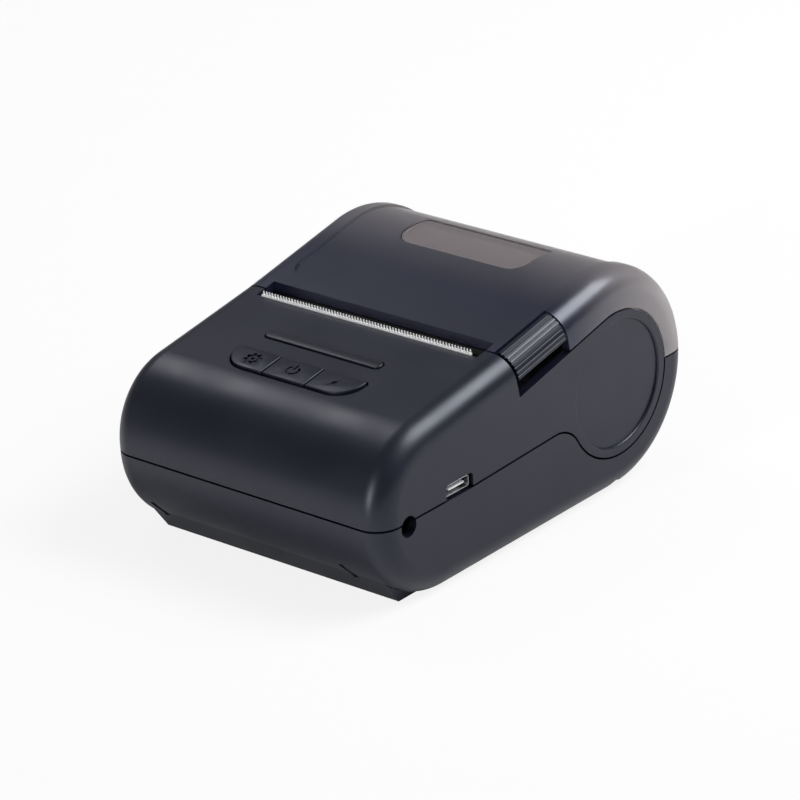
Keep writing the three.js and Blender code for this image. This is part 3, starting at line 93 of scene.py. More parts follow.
class PrinterColours(bpy.types.PropertyGroup):
    """Colours of the printer's finishes."""

    case: colour("Case", "#0e1020", "Satin moulded ABS of the case halves")
    cover: colour("Cover front", "#272a48", "Smoky polycarbonate of the paper cover, over the mechanism")
    # The cover's back colour is painted light, not a thinner moulding: its paler warm tone stands in for light
    # shining through the cover from behind over the roll
    cover_backlit: colour("Cover back", "#bab4b6", "The same cover over the roll, where it is moulded thinner")
    # The window's pale colour is partly painted light: the clearer insert is real, and the paleness stands in for
    # the lit roll space seen through it
    window: colour("Window", "#a0989b", "Paler smoky window insert")
    dark: colour("Inner parts", "#14151a", "Black inner mouldings")
    latch: colour("Latch", "#0a0c1c", "Satin ABS of the latch")
    keys: colour("Keys", "#0e1020", "Satin ABS of the keys")
    steel: colour("Steel", "#c8cacd", "Bright sheet steel")
    rubber: colour("Roller rubber", "#1b1b1c", "Ground silicone rubber of the platen")
    gears: colour("Gears", "#e6e3da", "Natural acetal")
    board: colour("Boards", "#12402a", "Green solder mask")
    cell: colour("Battery", "#24406f", "Shrink sleeve of the battery pack")
    floor: colour("Floor", "#ffffff", "Studio sweep")


def sizes():
    return bpy.context.scene.printer_sizes


def colours():
    return bpy.context.scene.printer_colours


# Plane geometry: outlines are lists of points, arcs run between two angles in degrees

BACK_STEPS = 84
ARC_STEPS = 28
EDGE_STEPS = 12
CORNER_STEPS = 10
ROUND = 64
SMALL_ROUND = 32
# How far a cutter overruns what it cuts, and a length that outreaches the whole body
OVER = 1
BIG = 80
ALONG_X = Matrix(((0, 0, 1, 0), (1, 0, 0, 0), (0, 1, 0, 0), (0, 0, 0, 1)))


def arc(cy, cz, radius, start, end, steps):
    angles = [math.radians(start + (end - start) * i / steps) for i in range(steps + 1)]
    return [(cy + radius * math.cos(a), cz + radius * math.sin(a)) for a in angles]


def circle(cy, cz, radius, sides=SMALL_ROUND):
    return arc(cy, cz, radius, 0, 360, sides)[:-1]


def rounded_rect(x0, x1, y0, y1, radius, back_radius=None):
    back = radius if back_radius is None else back_radius
    return [
        *arc(x1 - radius, y0 + radius, radius, -90, 0, CORNER_STEPS),
        *arc(x1 - back, y1 - back, back, 0, 90, CORNER_STEPS),
        *arc(x0 + back, y1 - back, back, 90, 180, CORNER_STEPS),
        *arc(x0 + radius, y0 + radius, radius, 180, 270, CORNER_STEPS),
    ]


def slope_frame(slope, y, z):
    """Local x stays, local y runs up the slope from (y, z), local z stands off it."""
    return Matrix.Translation((0, y, z)) @ Matrix.Rotation(math.atan(slope), 4, "X")


class Form:
    """The body's shape: one side outline, drawn in along rounded edges, and the lines that part it."""

    COVER_SLOPE = 0.2035
    HOUSING_SLOPE = 0.16
    SIDE_LINE_SLOPE = 0.23
    FRONT_TOP_R = 17
    SEAM_Y = -7.8
    RISE = 1
    RISE_START = -24
    BUMP_R = 8

    def __init__(self):
        for name in ("width", "depth", "height", "wall", "edge", "seam", "parting", "panel_deep", "ring",
                     "ring_seam"):
            setattr(self, name, getattr(sizes(), name) / MM)
        self.half = self.width / 2
        self.flat = self.half - self.edge
        self.back_r = self.height / 2
        self.front_y = -self.depth / 2
        self.ring_y = self.depth / 2 - self.back_r
        self.ring_z = self.back_r
        self.cover_angle = math.atan(self.COVER_SLOPE)
        self.housing_angle = math.atan(self.HOUSING_SLOPE)
        self.cover_deg, self.housing_deg, self.side_deg = (
            math.degrees(math.atan(slope)) for slope in (self.COVER_SLOPE, self.HOUSING_SLOPE, self.SIDE_LINE_SLOPE))
        self.cover_y = self.ring_y - self.back_r * math.sin(self.cover_angle)
        self.cover_z = self.ring_z + self.back_r * math.cos(self.cover_angle)
        self.seam_z = self.cover_top(self.SEAM_Y)
        self.front_top_y = self.front_y + self.FRONT_TOP_R
        skin_z = self.housing_top(self.front_top_y)
        self.front_top_z = skin_z - self.FRONT_TOP_R / math.cos(self.housing_angle)
        self.bump_z = self.parting + self.RISE - self.BUMP_R
        reach = self.ring_seam + self.BUMP_R
        self.bump_y = self.ring_y - math.sqrt(reach ** 2 - (self.ring_z - self.bump_z) ** 2)
        self.bump_deg = math.degrees(math.atan2(self.ring_z - self.bump_z, self.ring_y - self.bump_y))
        self.cover_frame = slope_frame(self.COVER_SLOPE, self.SEAM_Y, self.seam_z)
        self.housing_frame = slope_frame(self.HOUSING_SLOPE, self.SEAM_Y, self.seam_z)

    def cover_top(self, y):
        return self.cover_z + self.COVER_SLOPE * (y - self.cover_y)

    def housing_top(self, y):
        return self.seam_z + self.HOUSING_SLOPE * (y - self.SEAM_Y)

    def up_housing(self, y):
        return (y - self.SEAM_Y) / math.cos(self.housing_angle)

    def side_outline(self, inset):
        drop_cover = inset / math.cos(self.cover_angle)
        drop_housing = inset / math.cos(self.housing_angle)
        kink = self.SEAM_Y - (drop_housing - drop_cover) / (self.COVER_SLOPE - self.HOUSING_SLOPE)
        return [
            *arc(self.ring_y, self.ring_z, self.back_r - inset, -90, 90 + self.cover_deg, BACK_STEPS),
            (kink, self.cover_top(kink) - drop_cover),
            *arc(self.front_top_y, self.front_top_z, self.FRONT_TOP_R - inset,
                 90 + self.housing_deg, 180, ARC_STEPS),
            *arc(self.front_y + self.parting, self.parting, self.parting - inset, 180, 270, ARC_STEPS),
        ]

    def outline_normal(self, y, z):
        """Outward direction of the side outline at a point on it or at a parallel one."""
        around = [
            (self.ring_y, self.ring_z, -90, 90 + self.cover_deg),
            (self.front_top_y, self.front_top_z, 90 + self.housing_deg, 180),
            (self.front_y + self.parting, self.parting, -180, -90),
        ]
        for cy, cz, low, high in around:
            angle = math.degrees(math.atan2(z - cz, y - cy))
            if low <= angle <= high:
                return math.cos(math.radians(angle)), math.sin(math.radians(angle))
        if z > self.ring_z:
            angle = self.cover_angle if y > self.SEAM_Y else self.housing_angle
            return -math.sin(angle), math.cos(angle)
        return (-1, 0) if y < self.front_y + self.parting / 2 and z > self.parting else (0, -1)

    def normal(self, x, y, z):
        """Outward direction of the body's skin at a point on it or on a parallel skin."""
        sideways = max(0, min(1, (abs(x) - self.flat) / self.edge))
        up = math.sqrt(1 - sideways ** 2)
        ny, nz = self.outline_normal(y, z)
        return Vector((math.copysign(sideways, x), ny * up, nz * up))

    def body(self, inset):
        """The closed body drawn in by a distance."""
        edge = self.edge - inset
        turns = [math.pi / 2 * i / EDGE_STEPS for i in range(EDGE_STEPS, -1, -1)]
        left = [(-self.flat - edge * math.sin(t), inset + edge * (1 - math.cos(t))) for t in turns]
        stations = left + [(-x, depth) for x, depth in reversed(left)]
        rings = [[(x, y, z) for y, z in self.side_outline(depth)] for x, depth in stations]
        count = len(rings[0])
        faces = [tuple(range(count)), tuple(reversed(range(count * (len(rings) - 1), count * len(rings))))]
        for r in range(len(rings) - 1):
            for i in range(count):
                a, b = r * count + i, r * count + (i + 1) % count
                faces.append((a, a + count, b + count, b))
        return solid([p for ring in rings for p in ring], faces)

    # The line in the side view where the case halves and the cover meet, moved off it by half the seam
    def parting_path(self, shift):
        return [
            (self.front_y - OVER, self.parting + shift),
            (self.RISE_START, self.parting + shift),
            *arc(self.bump_y, self.bump_z, self.BUMP_R + shift, 90, self.bump_deg, ARC_STEPS),
            *arc(self.ring_y, self.ring_z, self.ring_seam - shift, 180 + self.bump_deg, 360,
                 2 * ARC_STEPS)[1:],
        ]

    def side_line(self, shift, y):
        angle = math.radians(self.side_deg)
        touch_y = self.ring_y - (self.ring_seam + shift) * math.sin(angle)
        touch_z = self.ring_z + (self.ring_seam + shift) * math.cos(angle)
        return touch_z + self.SIDE_LINE_SLOPE * (y - touch_y)

    def on_seam(self, along, up):
        point = self.cover_frame @ Vector((0, along, up))
        return point.y, point.z

    def meet_side(self, along, shift):
        top_y, top_z = self.on_seam(along, 0)
        both = self.SIDE_LINE_SLOPE * self.COVER_SLOPE
        z = (self.side_line(shift, top_y) + both * top_z) / (1 + both)
        return top_y + self.COVER_SLOPE * (top_z - z), z

    def lower_region(self):
        gap = self.seam / 2
        return [
            *self.parting_path(-gap)[:-1],
            (self.ring_y + self.ring_seam + gap, self.ring_z - gap),
            (self.depth / 2 + BIG, self.ring_z - gap),
            (self.depth / 2 + BIG, -BIG),
            (self.front_y - OVER, -BIG),
        ]

    def upper_region(self):
        gap = self.seam / 2
        ring = arc(self.ring_y, self.ring_z, self.ring_seam - gap, 0, 90 + self.side_deg, 2 * ARC_STEPS)[1:]
        return [
            *self.parting_path(gap),
            *ring,
            self.meet_side(-gap, -gap),
            self.on_seam(-gap, self.height / 4),
            (self.front_y - OVER, self.height + BIG),
        ]

    def cover_region(self):
        gap = self.seam / 2
        around = arc(self.ring_y, self.ring_z, self.ring_seam + gap, 90 + self.side_deg, 0, 2 * ARC_STEPS)
        return [
            self.on_seam(gap, self.height / 4),
            self.meet_side(gap, gap),
            *around[:-1],
            (self.ring_y + self.ring_seam + gap, self.ring_z + gap),
            (self.depth / 2 + BIG, self.ring_z + gap),
            (self.depth / 2 + BIG, self.height + BIG),
        ]


# Solids: temporary objects that are cut and joined, in millimetres until they are finished

def solid(points, faces):
    mesh = bpy.data.meshes.new("blank")
    mesh.from_pydata([tuple(p) for p in points], [], faces)
    work = bmesh.new()
    work.from_mesh(mesh)
    bmesh.ops.recalc_face_normals(work, faces=work.faces)
    work.to_mesh(mesh)
    work.free()
    blank = bpy.data.objects.new("blank", mesh)
    bpy.context.scene.collection.objects.link(blank)
    return blank


def prism(outline, start, end, place=None):
    """An outline swept straight from one depth to another, in a frame of its own."""
    turn = place or Matrix.Identity(4)
    count = len(outline)
    points = [turn @ Vector((a, b, depth)) for depth in (start, end) for a, b in outline]
    sides = [(i, (i + 1) % count, count + (i + 1) % count, count + i) for i in range(count)]
    return solid(points, [tuple(reversed(range(count))), tuple(range(count, 2 * count)), *sides])


def prism_x(outline, start, end):
    return prism(outline, start, end, ALONG_X)


def block(x0, x1, y0, y1, z0, z1, place=None):
    return prism([(x0, y0), (x1, y0), (x1, y1), (x0, y1)], z0, z1, place)


def rod_x(y, z, radius, start, end, sides=SMALL_ROUND):
    return prism_x(circle(y, z, radius, sides), start, end)


def rod_z(x, y, radius, start, end, sides=SMALL_ROUND):
    return prism(circle(x, y, radius, sides), start, end)


def rod_between(low, high, radius, sides=SMALL_ROUND):
    """A round bar from one point to another."""
    along = Vector(high) - Vector(low)
    turn = Vector((0, 0, 1)).rotation_difference(along).to_matrix().to_4x4()
    return prism(circle(0, 0, radius, sides), 0, along.length, Matrix.Translation(low) @ turn)


def lathe_x(y, z, profile, sides=ROUND):
    """A solid turned about a line along X, from pairs of radius and x."""
    count = len(profile)
    points = []
    for i in range(sides):
        angle = 2 * math.pi * i / sides
        points += [(x, y + r * math.cos(angle), z + r * math.sin(angle)) for r, x in profile]
    faces = [tuple(i * count for i in range(sides)),
             tuple(i * count + count - 1 for i in reversed(range(sides)))]
    for i in range(sides):
        here, there = i * count, (i + 1) % sides * count
        faces += [(here + k, there + k, there + k + 1, here + k + 1) for k in range(count - 1)]
    return solid(points, faces)


EDGE_DEG = 35


def bevelled(piece, width, degrees=EDGE_DEG, segments=2):
    """Adds a modifier that rounds the edges sharper than an angle."""
    edge = piece.modifiers.new("soften", "BEVEL")
    edge.width, edge.segments = width, segments
    edge.limit_method, edge.angle_limit = "ANGLE", math.radians(degrees)
    return piece


def settle(piece):
    """Turns a piece's modifiers into its mesh."""
    shown = piece.evaluated_get(bpy.context.evaluated_depsgraph_get())
    mesh = bpy.data.meshes.new_from_object(shown)
    old = piece.data
    piece.modifiers.clear()
    piece.data = mesh
    bpy.data.meshes.remove(old)
    return piece


def combine(piece, others, operation):
    for other in others:
        step = piece.modifiers.new(operation, "BOOLEAN")
        step.operation = operation
        step.solver = "MANIFOLD"
        step.object = other
    settle(piece)
    for other in others:
        bpy.data.objects.remove(other)
    if not piece.data.polygons:
        raise RuntimeError("a cut left nothing of the piece")
    return piece


def cut(piece, *others):
    return combine(piece, others, "DIFFERENCE")


def join(piece, *others):
    return combine(piece, others, "UNION")


def meet(piece, *others):
    return combine(piece, others, "INTERSECT")


# Edges flatter than this are shaded smooth, and a face belongs to the body's skin where its normal
# and the body's own agree this closely
SMOOTH_DEG, ON_SKIN = 32, 0.985


def finish_piece(piece, name, body, material, stands_for=(), form=None):
    """Names a solid, moves it to metres in the row's frame, smooths it and hands it to a body."""
    mesh = piece.data
    piece.name = mesh.name = name
    for polygon in mesh.polygons:
        polygon.use_smooth = True
    mesh.set_sharp_from_angle(angle=math.radians(SMOOTH_DEG))
    if form:
        skin_normals(mesh, form)
    to_row = Matrix.Diagonal((MM, MM, MM, 1)) @ Matrix.Translation((0, -BACK_STANDS_OUT / 2, 0))
    mesh.transform(to_row)
    mesh.materials.clear()
    mesh.materials.append(material)
    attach(piece, body)
    if stands_for:
        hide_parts(*stands_for)
    return piece


def skin_normals(mesh, form):
    """Gives faces that lie along the body's form its exact normals, so that highlights run smoothly."""
    normals = [corner.vector.copy() for corner in mesh.corner_normals]
    for polygon in mesh.polygons:
        for turn in (1, -1):
            if polygon.normal.dot(form.normal(*polygon.center) * turn) > ON_SKIN:
                for corner in polygon.loop_indices:
                    vertex = mesh.vertices[mesh.loops[corner].vertex_index]
                    normals[corner] = form.normal(*vertex.co) * turn
    mesh.normals_split_custom_set(normals)


# Materials

def add(tree, kind, links=None, **settings):
    """Adds a node with its settings, and links or sets its inputs."""
    node = tree.nodes.new(kind)
    for name, value in settings.items():
        setattr(node, name, value)
    for name, value in (links or {}).items():
        if isinstance(value, bpy.types.NodeSocket):
            tree.links.new(value, node.inputs[name])
        else:
            node.inputs[name].default_value = value
    return node


def noise(tree, where, millimetres, detail=2.0):
    """A noise whose patches are about that many millimetres wide."""
    return add(tree, "ShaderNodeTexNoise", {"Vector": where, "Scale": 1 / (millimetres * MM),
                                            "Detail": detail}).outputs["Fac"]


def mixed(tree, factor, first, second):
    """A colour between two, by a socket or value from 0 to 1."""
    mix = add(tree, "ShaderNodeMix", data_type="RGBA")
    # Its names repeat, so the factor and the two colours go by their places
    for socket, value in zip((mix.inputs[0], mix.inputs[6], mix.inputs[7]), (factor, first, second)):
        if isinstance(value, bpy.types.NodeSocket):
            tree.links.new(value, socket)
        else:
            socket.default_value = value
    return mix.outputs[2]


def rgba(rgb, gain=1):
    return (*(min(1, c * gain) for c in rgb), 1)


def emptied(owner):
    """The node tree of a new material or world, with nothing in it."""
    owner.use_nodes = True
    owner.node_tree.nodes.clear()
    return owner.node_tree


# The width of the patches in which roughness drifts, and the part of the noise's range that they use
PATCH, PATCH_LOW, PATCH_HIGH = 14, 0.3, 0.7


def made(name, base, roughness, grain, height, shift=0.05, mottling=0.12, fixed=None, metallic=0):
    """A finish with a fine surface grain, a slow drift in roughness and a slight change of colour.

    grain and height are in millimetres, the size and depth of the surface's texture. fixed holds
    values of the shader's own sockets.
    """
    if name in bpy.data.materials:
        return bpy.data.materials[name]
    material = bpy.data.materials.new(name)
    tree = emptied(material)
    where = add(tree, "ShaderNodeTexCoord").outputs["Object"]
    fine = noise(tree, where, grain)
    rough = add(tree, "ShaderNodeMapRange", {
        "Value": noise(tree, where, PATCH, 3.0), "From Min": PATCH_LOW, "From Max": PATCH_HIGH,
        "To Min": roughness - shift, "To Max": roughness + shift})
    tone = mixed(tree, fine, rgba(base, 1 - mottling), rgba(base, 1 + mottling))
    bump = add(tree, "ShaderNodeBump", {"Height": fine, "Strength": 1.0, "Distance": height * MM})
    shader = add(tree, "ShaderNodeBsdfPrincipled", {
        "Base Color": tone, "Roughness": rough.outputs["Result"], "Metallic": metallic,
        "Normal": bump.outputs["Normal"], **(fixed or {})})
    add(tree, "ShaderNodeOutputMaterial", {"Surface": shader.outputs["BSDF"]})
    return material


# Blue tint on the plastics' reflections: painted light, standing in for the cool colour of the studio lamps
PAINTED_COOL_LIGHT = (0.85, 0.9, 1, 1)


def spark_eroded_abs():
    """Moulded ABS from a spark-eroded tool: a fine even grain spreads the highlights to a satin band."""
    return made("spark_eroded_abs", colours().case, 0.38, grain=0.4, height=0.006,
                fixed={"IOR": 1.54, "Specular Tint": PAINTED_COOL_LIGHT})


def polished_abs(name, base):
    """ABS moulded in a smoother tool, for parts that fingers touch: a tighter highlight than the case."""
    return made(name, base, 0.36, grain=0.5, height=0.003, fixed={"IOR": 1.54, "Specular Tint": PAINTED_COOL_LIGHT})


# Where the painted light through the cover's back starts and where it is full, and the size and strength of the
# clouds in it
BACKLIGHT_START_Y, BACKLIGHT_FULL_Y = 8, 42
CLOUD, CLOUDING = 9, 0.08


def smoky_polycarbonate():
    """Polycarbonate tinted through, moulded satin: a soft broad sheen, and dim shapes beneath it.

    The tint runs from nearly black over the mechanism to a paler warm smoke over the roll; the paler back is painted
    light, standing in for light that shines through the cover from behind.
    """
    material = made("smoky_polycarbonate", colours().cover, 0.32, grain=2, height=0.002, shift=0.02,
                    fixed={"IOR": 1.585, "Transmission Weight": 0.7, "Specular Tint": PAINTED_COOL_LIGHT})
    tree = material.node_tree
    where = add(tree, "ShaderNodeTexCoord").outputs["Object"]
    place = add(tree, "ShaderNodeSeparateXYZ", {"Vector": where})
    back = add(tree, "ShaderNodeMapRange", {"Value": place.outputs["Y"], "From Min": BACKLIGHT_START_Y * MM,
                                            "From Max": BACKLIGHT_FULL_Y * MM}, interpolation_type="SMOOTHSTEP")
    cloud = noise(tree, where, CLOUD)
    front = mixed(tree, cloud, rgba(colours().cover, 1 - CLOUDING), rgba(colours().cover, 1 + CLOUDING))
    # Paler towards the back: painted light shining through the cover from behind
    tint = mixed(tree, back.outputs["Result"], front, rgba(colours().cover_backlit))
    tree.links.new(tint, next(n for n in tree.nodes if n.type == "BSDF_PRINCIPLED").inputs["Base Color"])
    return material


def window_polycarbonate():
    """The clearer insert over the roll, glossy; its pale colour is partly painted light, standing in for the lit
    roll space seen through it.
    """
    return made("window_polycarbonate", colours().window, 0.16, grain=3, height=0.002, shift=0.02,
                mottling=0.03, fixed={"IOR": 1.585, "Transmission Weight": 0.6})


def black_moulding():
    """Black ABS inside the case, moulded matt so that paper slides on it."""
    return made("black_moulding", colours().dark, 0.5, grain=0.6, height=0.01, fixed={"IOR": 1.54})


def bright_steel():
    """Nickel-plated sheet steel: bright, with a faint rolled haze."""
    return made("bright_steel", colours().steel, 0.24, grain=0.3, height=0.001, mottling=0.05, metallic=1)


def nickel_with_painted_glint():
    """Bead-blasted nickel plate on the tear bar: it scatters light, and its nearly white colour is partly painted
    highlight, standing in for the glints that the bright metal catches.
    """
    return made("nickel_with_painted_glint", linear("#fbfbfc"), 0.5, grain=0.3, height=0.002, mottling=0.03,
                metallic=0.35)


def cast_zinc():
    """Zinc-plated and die-cast parts: greyer and duller than sheet steel."""
    return made("cast_zinc", linear("#a9adb2"), 0.38, grain=0.5, height=0.004, mottling=0.08, metallic=1)


def anodised_aluminium():
    """Extruded aluminium, clear anodised: soft and slightly warm."""
    return made("anodised_aluminium", linear("#b9bbbe"), 0.42, grain=0.4, height=0.004, metallic=1)


def ground_rubber():
    """Silicone rubber ground true on a lathe: matt, with a fine tooth."""
    return made("ground_rubber", colours().rubber, 0.78, grain=0.25, height=0.012, fixed={"IOR": 1.43})


def natural_acetal():
    """Unpigmented acetal gears: milky and slightly waxy."""
    return made("natural_acetal", colours().gears, 0.42, grain=0.8, height=0.003, mottling=0.04,
                fixed={"IOR": 1.48, "Subsurface Weight": 0.15, "Subsurface Radius": (0.001, 0.001, 0.0008)})


def solder_mask():
    """Glass-epoxy board under green solder mask: glossy, with a slight weave beneath."""
    return made("solder_mask", colours().board, 0.36, grain=0.45, height=0.006, mottling=0.18,
                fixed={"IOR": 1.55})


def glazed_ceramic():
    """Alumina head with a glass glaze: pale and glossy."""
    return made("glazed_ceramic", linear("#e9e4d8"), 0.2, grain=1.2, height=0.002, mottling=0.04,
                fixed={"IOR": 1.6})


def shrink_sleeve():
    """Shrink film round the battery cells: glossy, pulled into long slow ripples."""
    return made("shrink_sleeve", colours().cell, 0.25, grain=4, height=0.05, fixed={"IOR": 1.52})


def smoked_lens():
    """Smoked polycarbonate light strip, flush with the case and as dark until its lamps light."""
    return made("smoked_lens", linear("#10111c"), 0.36, grain=0.5, height=0.003,
                fixed={"IOR": 1.585, "Specular Tint": PAINTED_COOL_LIGHT})


# The case

STRAP_Y, STRAP_Z, STRAP_R = -41.85, 18.6, 2.25
STRAP_PIN_BACK, STRAP_PIN_R, STRAP_PIN_LONG = 3.2, 0.75, 7
FOOT_FRONT_Y, CREASE_Z = -40.1, 5.6
SLOT_X, SLOTS_OFF_CENTRE, SLOT_R, SLOT_SUNK, SLOT_LEAN = 25.5, 3.6, 0.75, 0.15, 1.5
SLOT_ABOVE, SLOT_BELOW = 2.7, 1.1
HINGE_INSET, HINGE_DROP = 1.2, 0.15
KNUCKLE_R, HINGE_BORE_R, HINGE_MID_X = 2, 1.05, 20.5
COVER_KNUCKLE, CASE_KNUCKLE = 7, 3.2
RELIEF, RELIEF_HALF = 1.5, 34.4
FIT, RUN = 0.3, 0.15
RING_DEEP, RING_LIP, LIP_STEPS = 0.5, 0.5, 7
SCREWS = ((27, -36, 2.6, 17.8, 1.2), (33.1, None, 2.1, 8.2, 3.4))
SCREW_HEAD_R, SCREW_HEAD_HIGH, SCREW_SHANK_R = 2.2, 1.6, 1
DOOR_HALF, DOOR_THICK, DOOR_RIM, DOOR_FRONT_Y, DOOR_BACK_Y = 25, 1.4, 1.6, -33, 6.2285
MOUTH_HALF, MOUTH_FRONT_Y, MOUTH_BACK_Y = 29.5, -10.6, -5
SIDES = (-1, 1)


def hinge_place(form):
    return form.depth / 2 - HINGE_INSET, form.ring_z - HINGE_DROP


def hinge_rod(form, side, radius, reach):
    """A rod on the cover's hinge line, centred on one of the two hinges."""
    return rod_x(*hinge_place(form), radius, side * HINGE_MID_X - reach, side * HINGE_MID_X + reach, ROUND)


def cover_knuckle(form, side, grow=0, radius=KNUCKLE_R):
    return hinge_rod(form, side, radius, COVER_KNUCKLE / 2 + grow)


def case_knuckles(form, side, grow=0, radius=KNUCKLE_R):
    pair = []
    for end in SIDES:
        near = side * HINGE_MID_X + end * (COVER_KNUCKLE / 2 + FIT)
        low, high = sorted((near, near + end * CASE_KNUCKLE))
        pair.append(rod_x(*hinge_place(form), radius, low - grow, high + grow, ROUND))
    return pair


def hinge_bore(form, side):
    return hinge_rod(form, side, HINGE_BORE_R, COVER_KNUCKLE / 2 + FIT + CASE_KNUCKLE + OVER)


def ring_recesses(form):
    """Round recesses in both sides, with a rounded rim that catches the light."""
    turns = [math.pi / 2 * i / LIP_STEPS for i in range(LIP_STEPS + 1)]
    lip = [(form.ring + RING_LIP * (1 - math.cos(t)), form.half - RING_LIP * (1 - math.sin(t)))
           for t in turns]
    profile = [(form.ring, form.half - RING_DEEP), *lip, (form.ring + RING_LIP, form.half + OVER)]
    mirrored = [(radius, -x) for radius, x in profile]
    return [lathe_x(form.ring_y, form.ring_z, side, BACK_STEPS * 2) for side in (profile, mirrored)]


def front_skin_y(form, z):
    return form.front_y + form.parting - math.sqrt(form.parting ** 2 - (form.parting - z) ** 2)


def foot_slot(form, side):
    """A round-bottomed slot that starts above the crease, leans aside and runs out on the foot."""
    x, high_z = side * SLOT_X - SLOTS_OFF_CENTRE, CREASE_Z + SLOT_ABOVE
    crease_y = front_skin_y(form, CREASE_Z)
    foot_y = crease_y + (FOOT_FRONT_Y - crease_y) * SLOT_BELOW / CREASE_Z
    return rod_between((x + SLOT_LEAN, foot_y, CREASE_Z - SLOT_BELOW),
                       (x, front_skin_y(form, high_z) + SLOT_SUNK, high_z), SLOT_R)


def strap_hole(form):
    return rod_x(STRAP_Y, STRAP_Z, STRAP_R, form.flat, form.half + OVER, ROUND)


def screw_spots(form):
    return [(side * x, form.ring_y if y is None else y, *rest) for side in SIDES for x, y, *rest in SCREWS]


def across(form, outline):
    """A region of the side view as a slab that is wider than the body."""
    return prism_x(outline, -form.width, form.width)


def upper_block(form, x0, x1, y0, y1):
    """A block over the upper half of the body's height."""
    return block(x0, x1, y0, y1, form.height / 2, form.height)


def layer(form, outer, inner):
    """What lies between two depths below the body's skin."""
    return cut(form.body(outer), form.body(inner))


def lower_case(form):
    rear = form.front_y + form.parting
    crease = (front_skin_y(form, CREASE_Z), CREASE_Z)
    foot = prism_x([(FOOT_FRONT_Y, 0), (rear, 0), (rear, form.wall), crease], -form.flat, form.flat)
    shell = meet(join(layer(form, 0, form.wall), foot), across(form, form.lower_region()))
    bosses = [meet(rod_z(x, y, boss, form.wall / 2, top), form.body(0))
              for x, y, boss, top, _ in screw_spots(form)]
    join(shell, *bosses)
    for side in SIDES:
        join(shell, *case_knuckles(form, side))
        cut(shell, cover_knuckle(form, side, FIT / 2, KNUCKLE_R + FIT), hinge_bore(form, side))
    for x, y, _, _, sink in screw_spots(form):
        cut(shell, rod_z(x, y, SCREW_HEAD_R + FIT, -OVER, sink + SCREW_HEAD_HIGH + FIT, ROUND),
            rod_z(x, y, SCREW_SHANK_R + FIT, -OVER, BIG))
    door = prism(rounded_rect(-DOOR_HALF, DOOR_HALF, DOOR_FRONT_Y, DOOR_BACK_Y, DOOR_RIM),
                 -OVER, DOOR_THICK + FIT)
    well = block(DOOR_RIM - DOOR_HALF, DOOR_HALF - DOOR_RIM,
                 DOOR_FRONT_Y + DOOR_RIM, DOOR_BACK_Y - DOOR_RIM, 0, form.wall + OVER)
    slots = [foot_slot(form, side) for side in SIDES]
    return cut(shell, door, well, *slots, strap_hole(form), *ring_recesses(form))


# Controls on the housing

CONTROLS_X = -1.4
PAD_HALF, PAD_TOP_Y, PAD_LOW_Y, PAD_LOW_R, PAD_TOP_R = 17.4, -27.6, -35, 6.2, 1.1
KEY_PROUD, KEY_SPLIT = 0.6, 5.7
STRIP_HALF, STRIP_LOW_Y, STRIP_TOP_Y, STRIP_PROUD = 15.6, -23.3, -20.2, 0.35
USB_Y, USB_LONG, USB_HIGH, USB_DEEP, USB_WALL, USB_BACK = -26, 7.5, 2.5, 5.2, 0.2, 0.7
USB_MARGIN, USB_MOUTH_R = 0.45, 0.9


def pad_outline(form, shrink):
    low, high = form.up_housing(PAD_LOW_Y) + shrink, form.up_housing(PAD_TOP_Y) - shrink
    return rounded_rect(CONTROLS_X - PAD_HALF + shrink, CONTROLS_X + PAD_HALF - shrink, low, high,
                        PAD_LOW_R - shrink, PAD_TOP_R - shrink)


def strip_outline(form, shrink):
    low, high = form.up_housing(STRIP_LOW_Y) + shrink, form.up_housing(STRIP_TOP_Y) - shrink
    return rounded_rect(CONTROLS_X - STRIP_HALF + shrink, CONTROLS_X + STRIP_HALF - shrink, low, high,
                        (high - low) / 2 - RUN / 2)


def usb_mouth(form):
    """The rounded opening in front of the charging socket, across the parting line."""
    low, high = USB_Y - USB_LONG / 2 - USB_MARGIN, USB_Y + USB_LONG / 2 + USB_MARGIN
    top = form.parting + FIT + USB_HIGH + USB_MARGIN
    return prism_x(rounded_rect(low, high, form.parting - USB_MARGIN / 2, top, USB_MOUTH_R),
                   form.half - form.wall * 2, form.half + OVER)


def upper_case(form):
    region = across(form, form.upper_region())
    strap = block(form.half - STRAP_PIN_BACK - STRAP_PIN_R * 3, form.half - form.wall / 2,
                  STRAP_Y - STRAP_PIN_R * 2, STRAP_Y + STRAP_PIN_R * 2,
                  STRAP_Z + STRAP_R, STRAP_Z + STRAP_PIN_LONG)
    shell = meet(join(layer(form, 0, form.wall), meet(strap, form.body(0))), region)
    mouth = upper_block(form, -MOUTH_HALF, MOUTH_HALF, MOUTH_FRONT_Y, form.SEAM_Y + OVER * 2)
    pad = prism(pad_outline(form, 0), -form.wall * 2, OVER, form.housing_frame)
    strip = prism(strip_outline(form, 0), -form.wall * 2, OVER, form.housing_frame)
    return cut(shell, mouth, pad, strip, usb_mouth(form), strap_hole(form), *ring_recesses(form))


# The cover and its latch

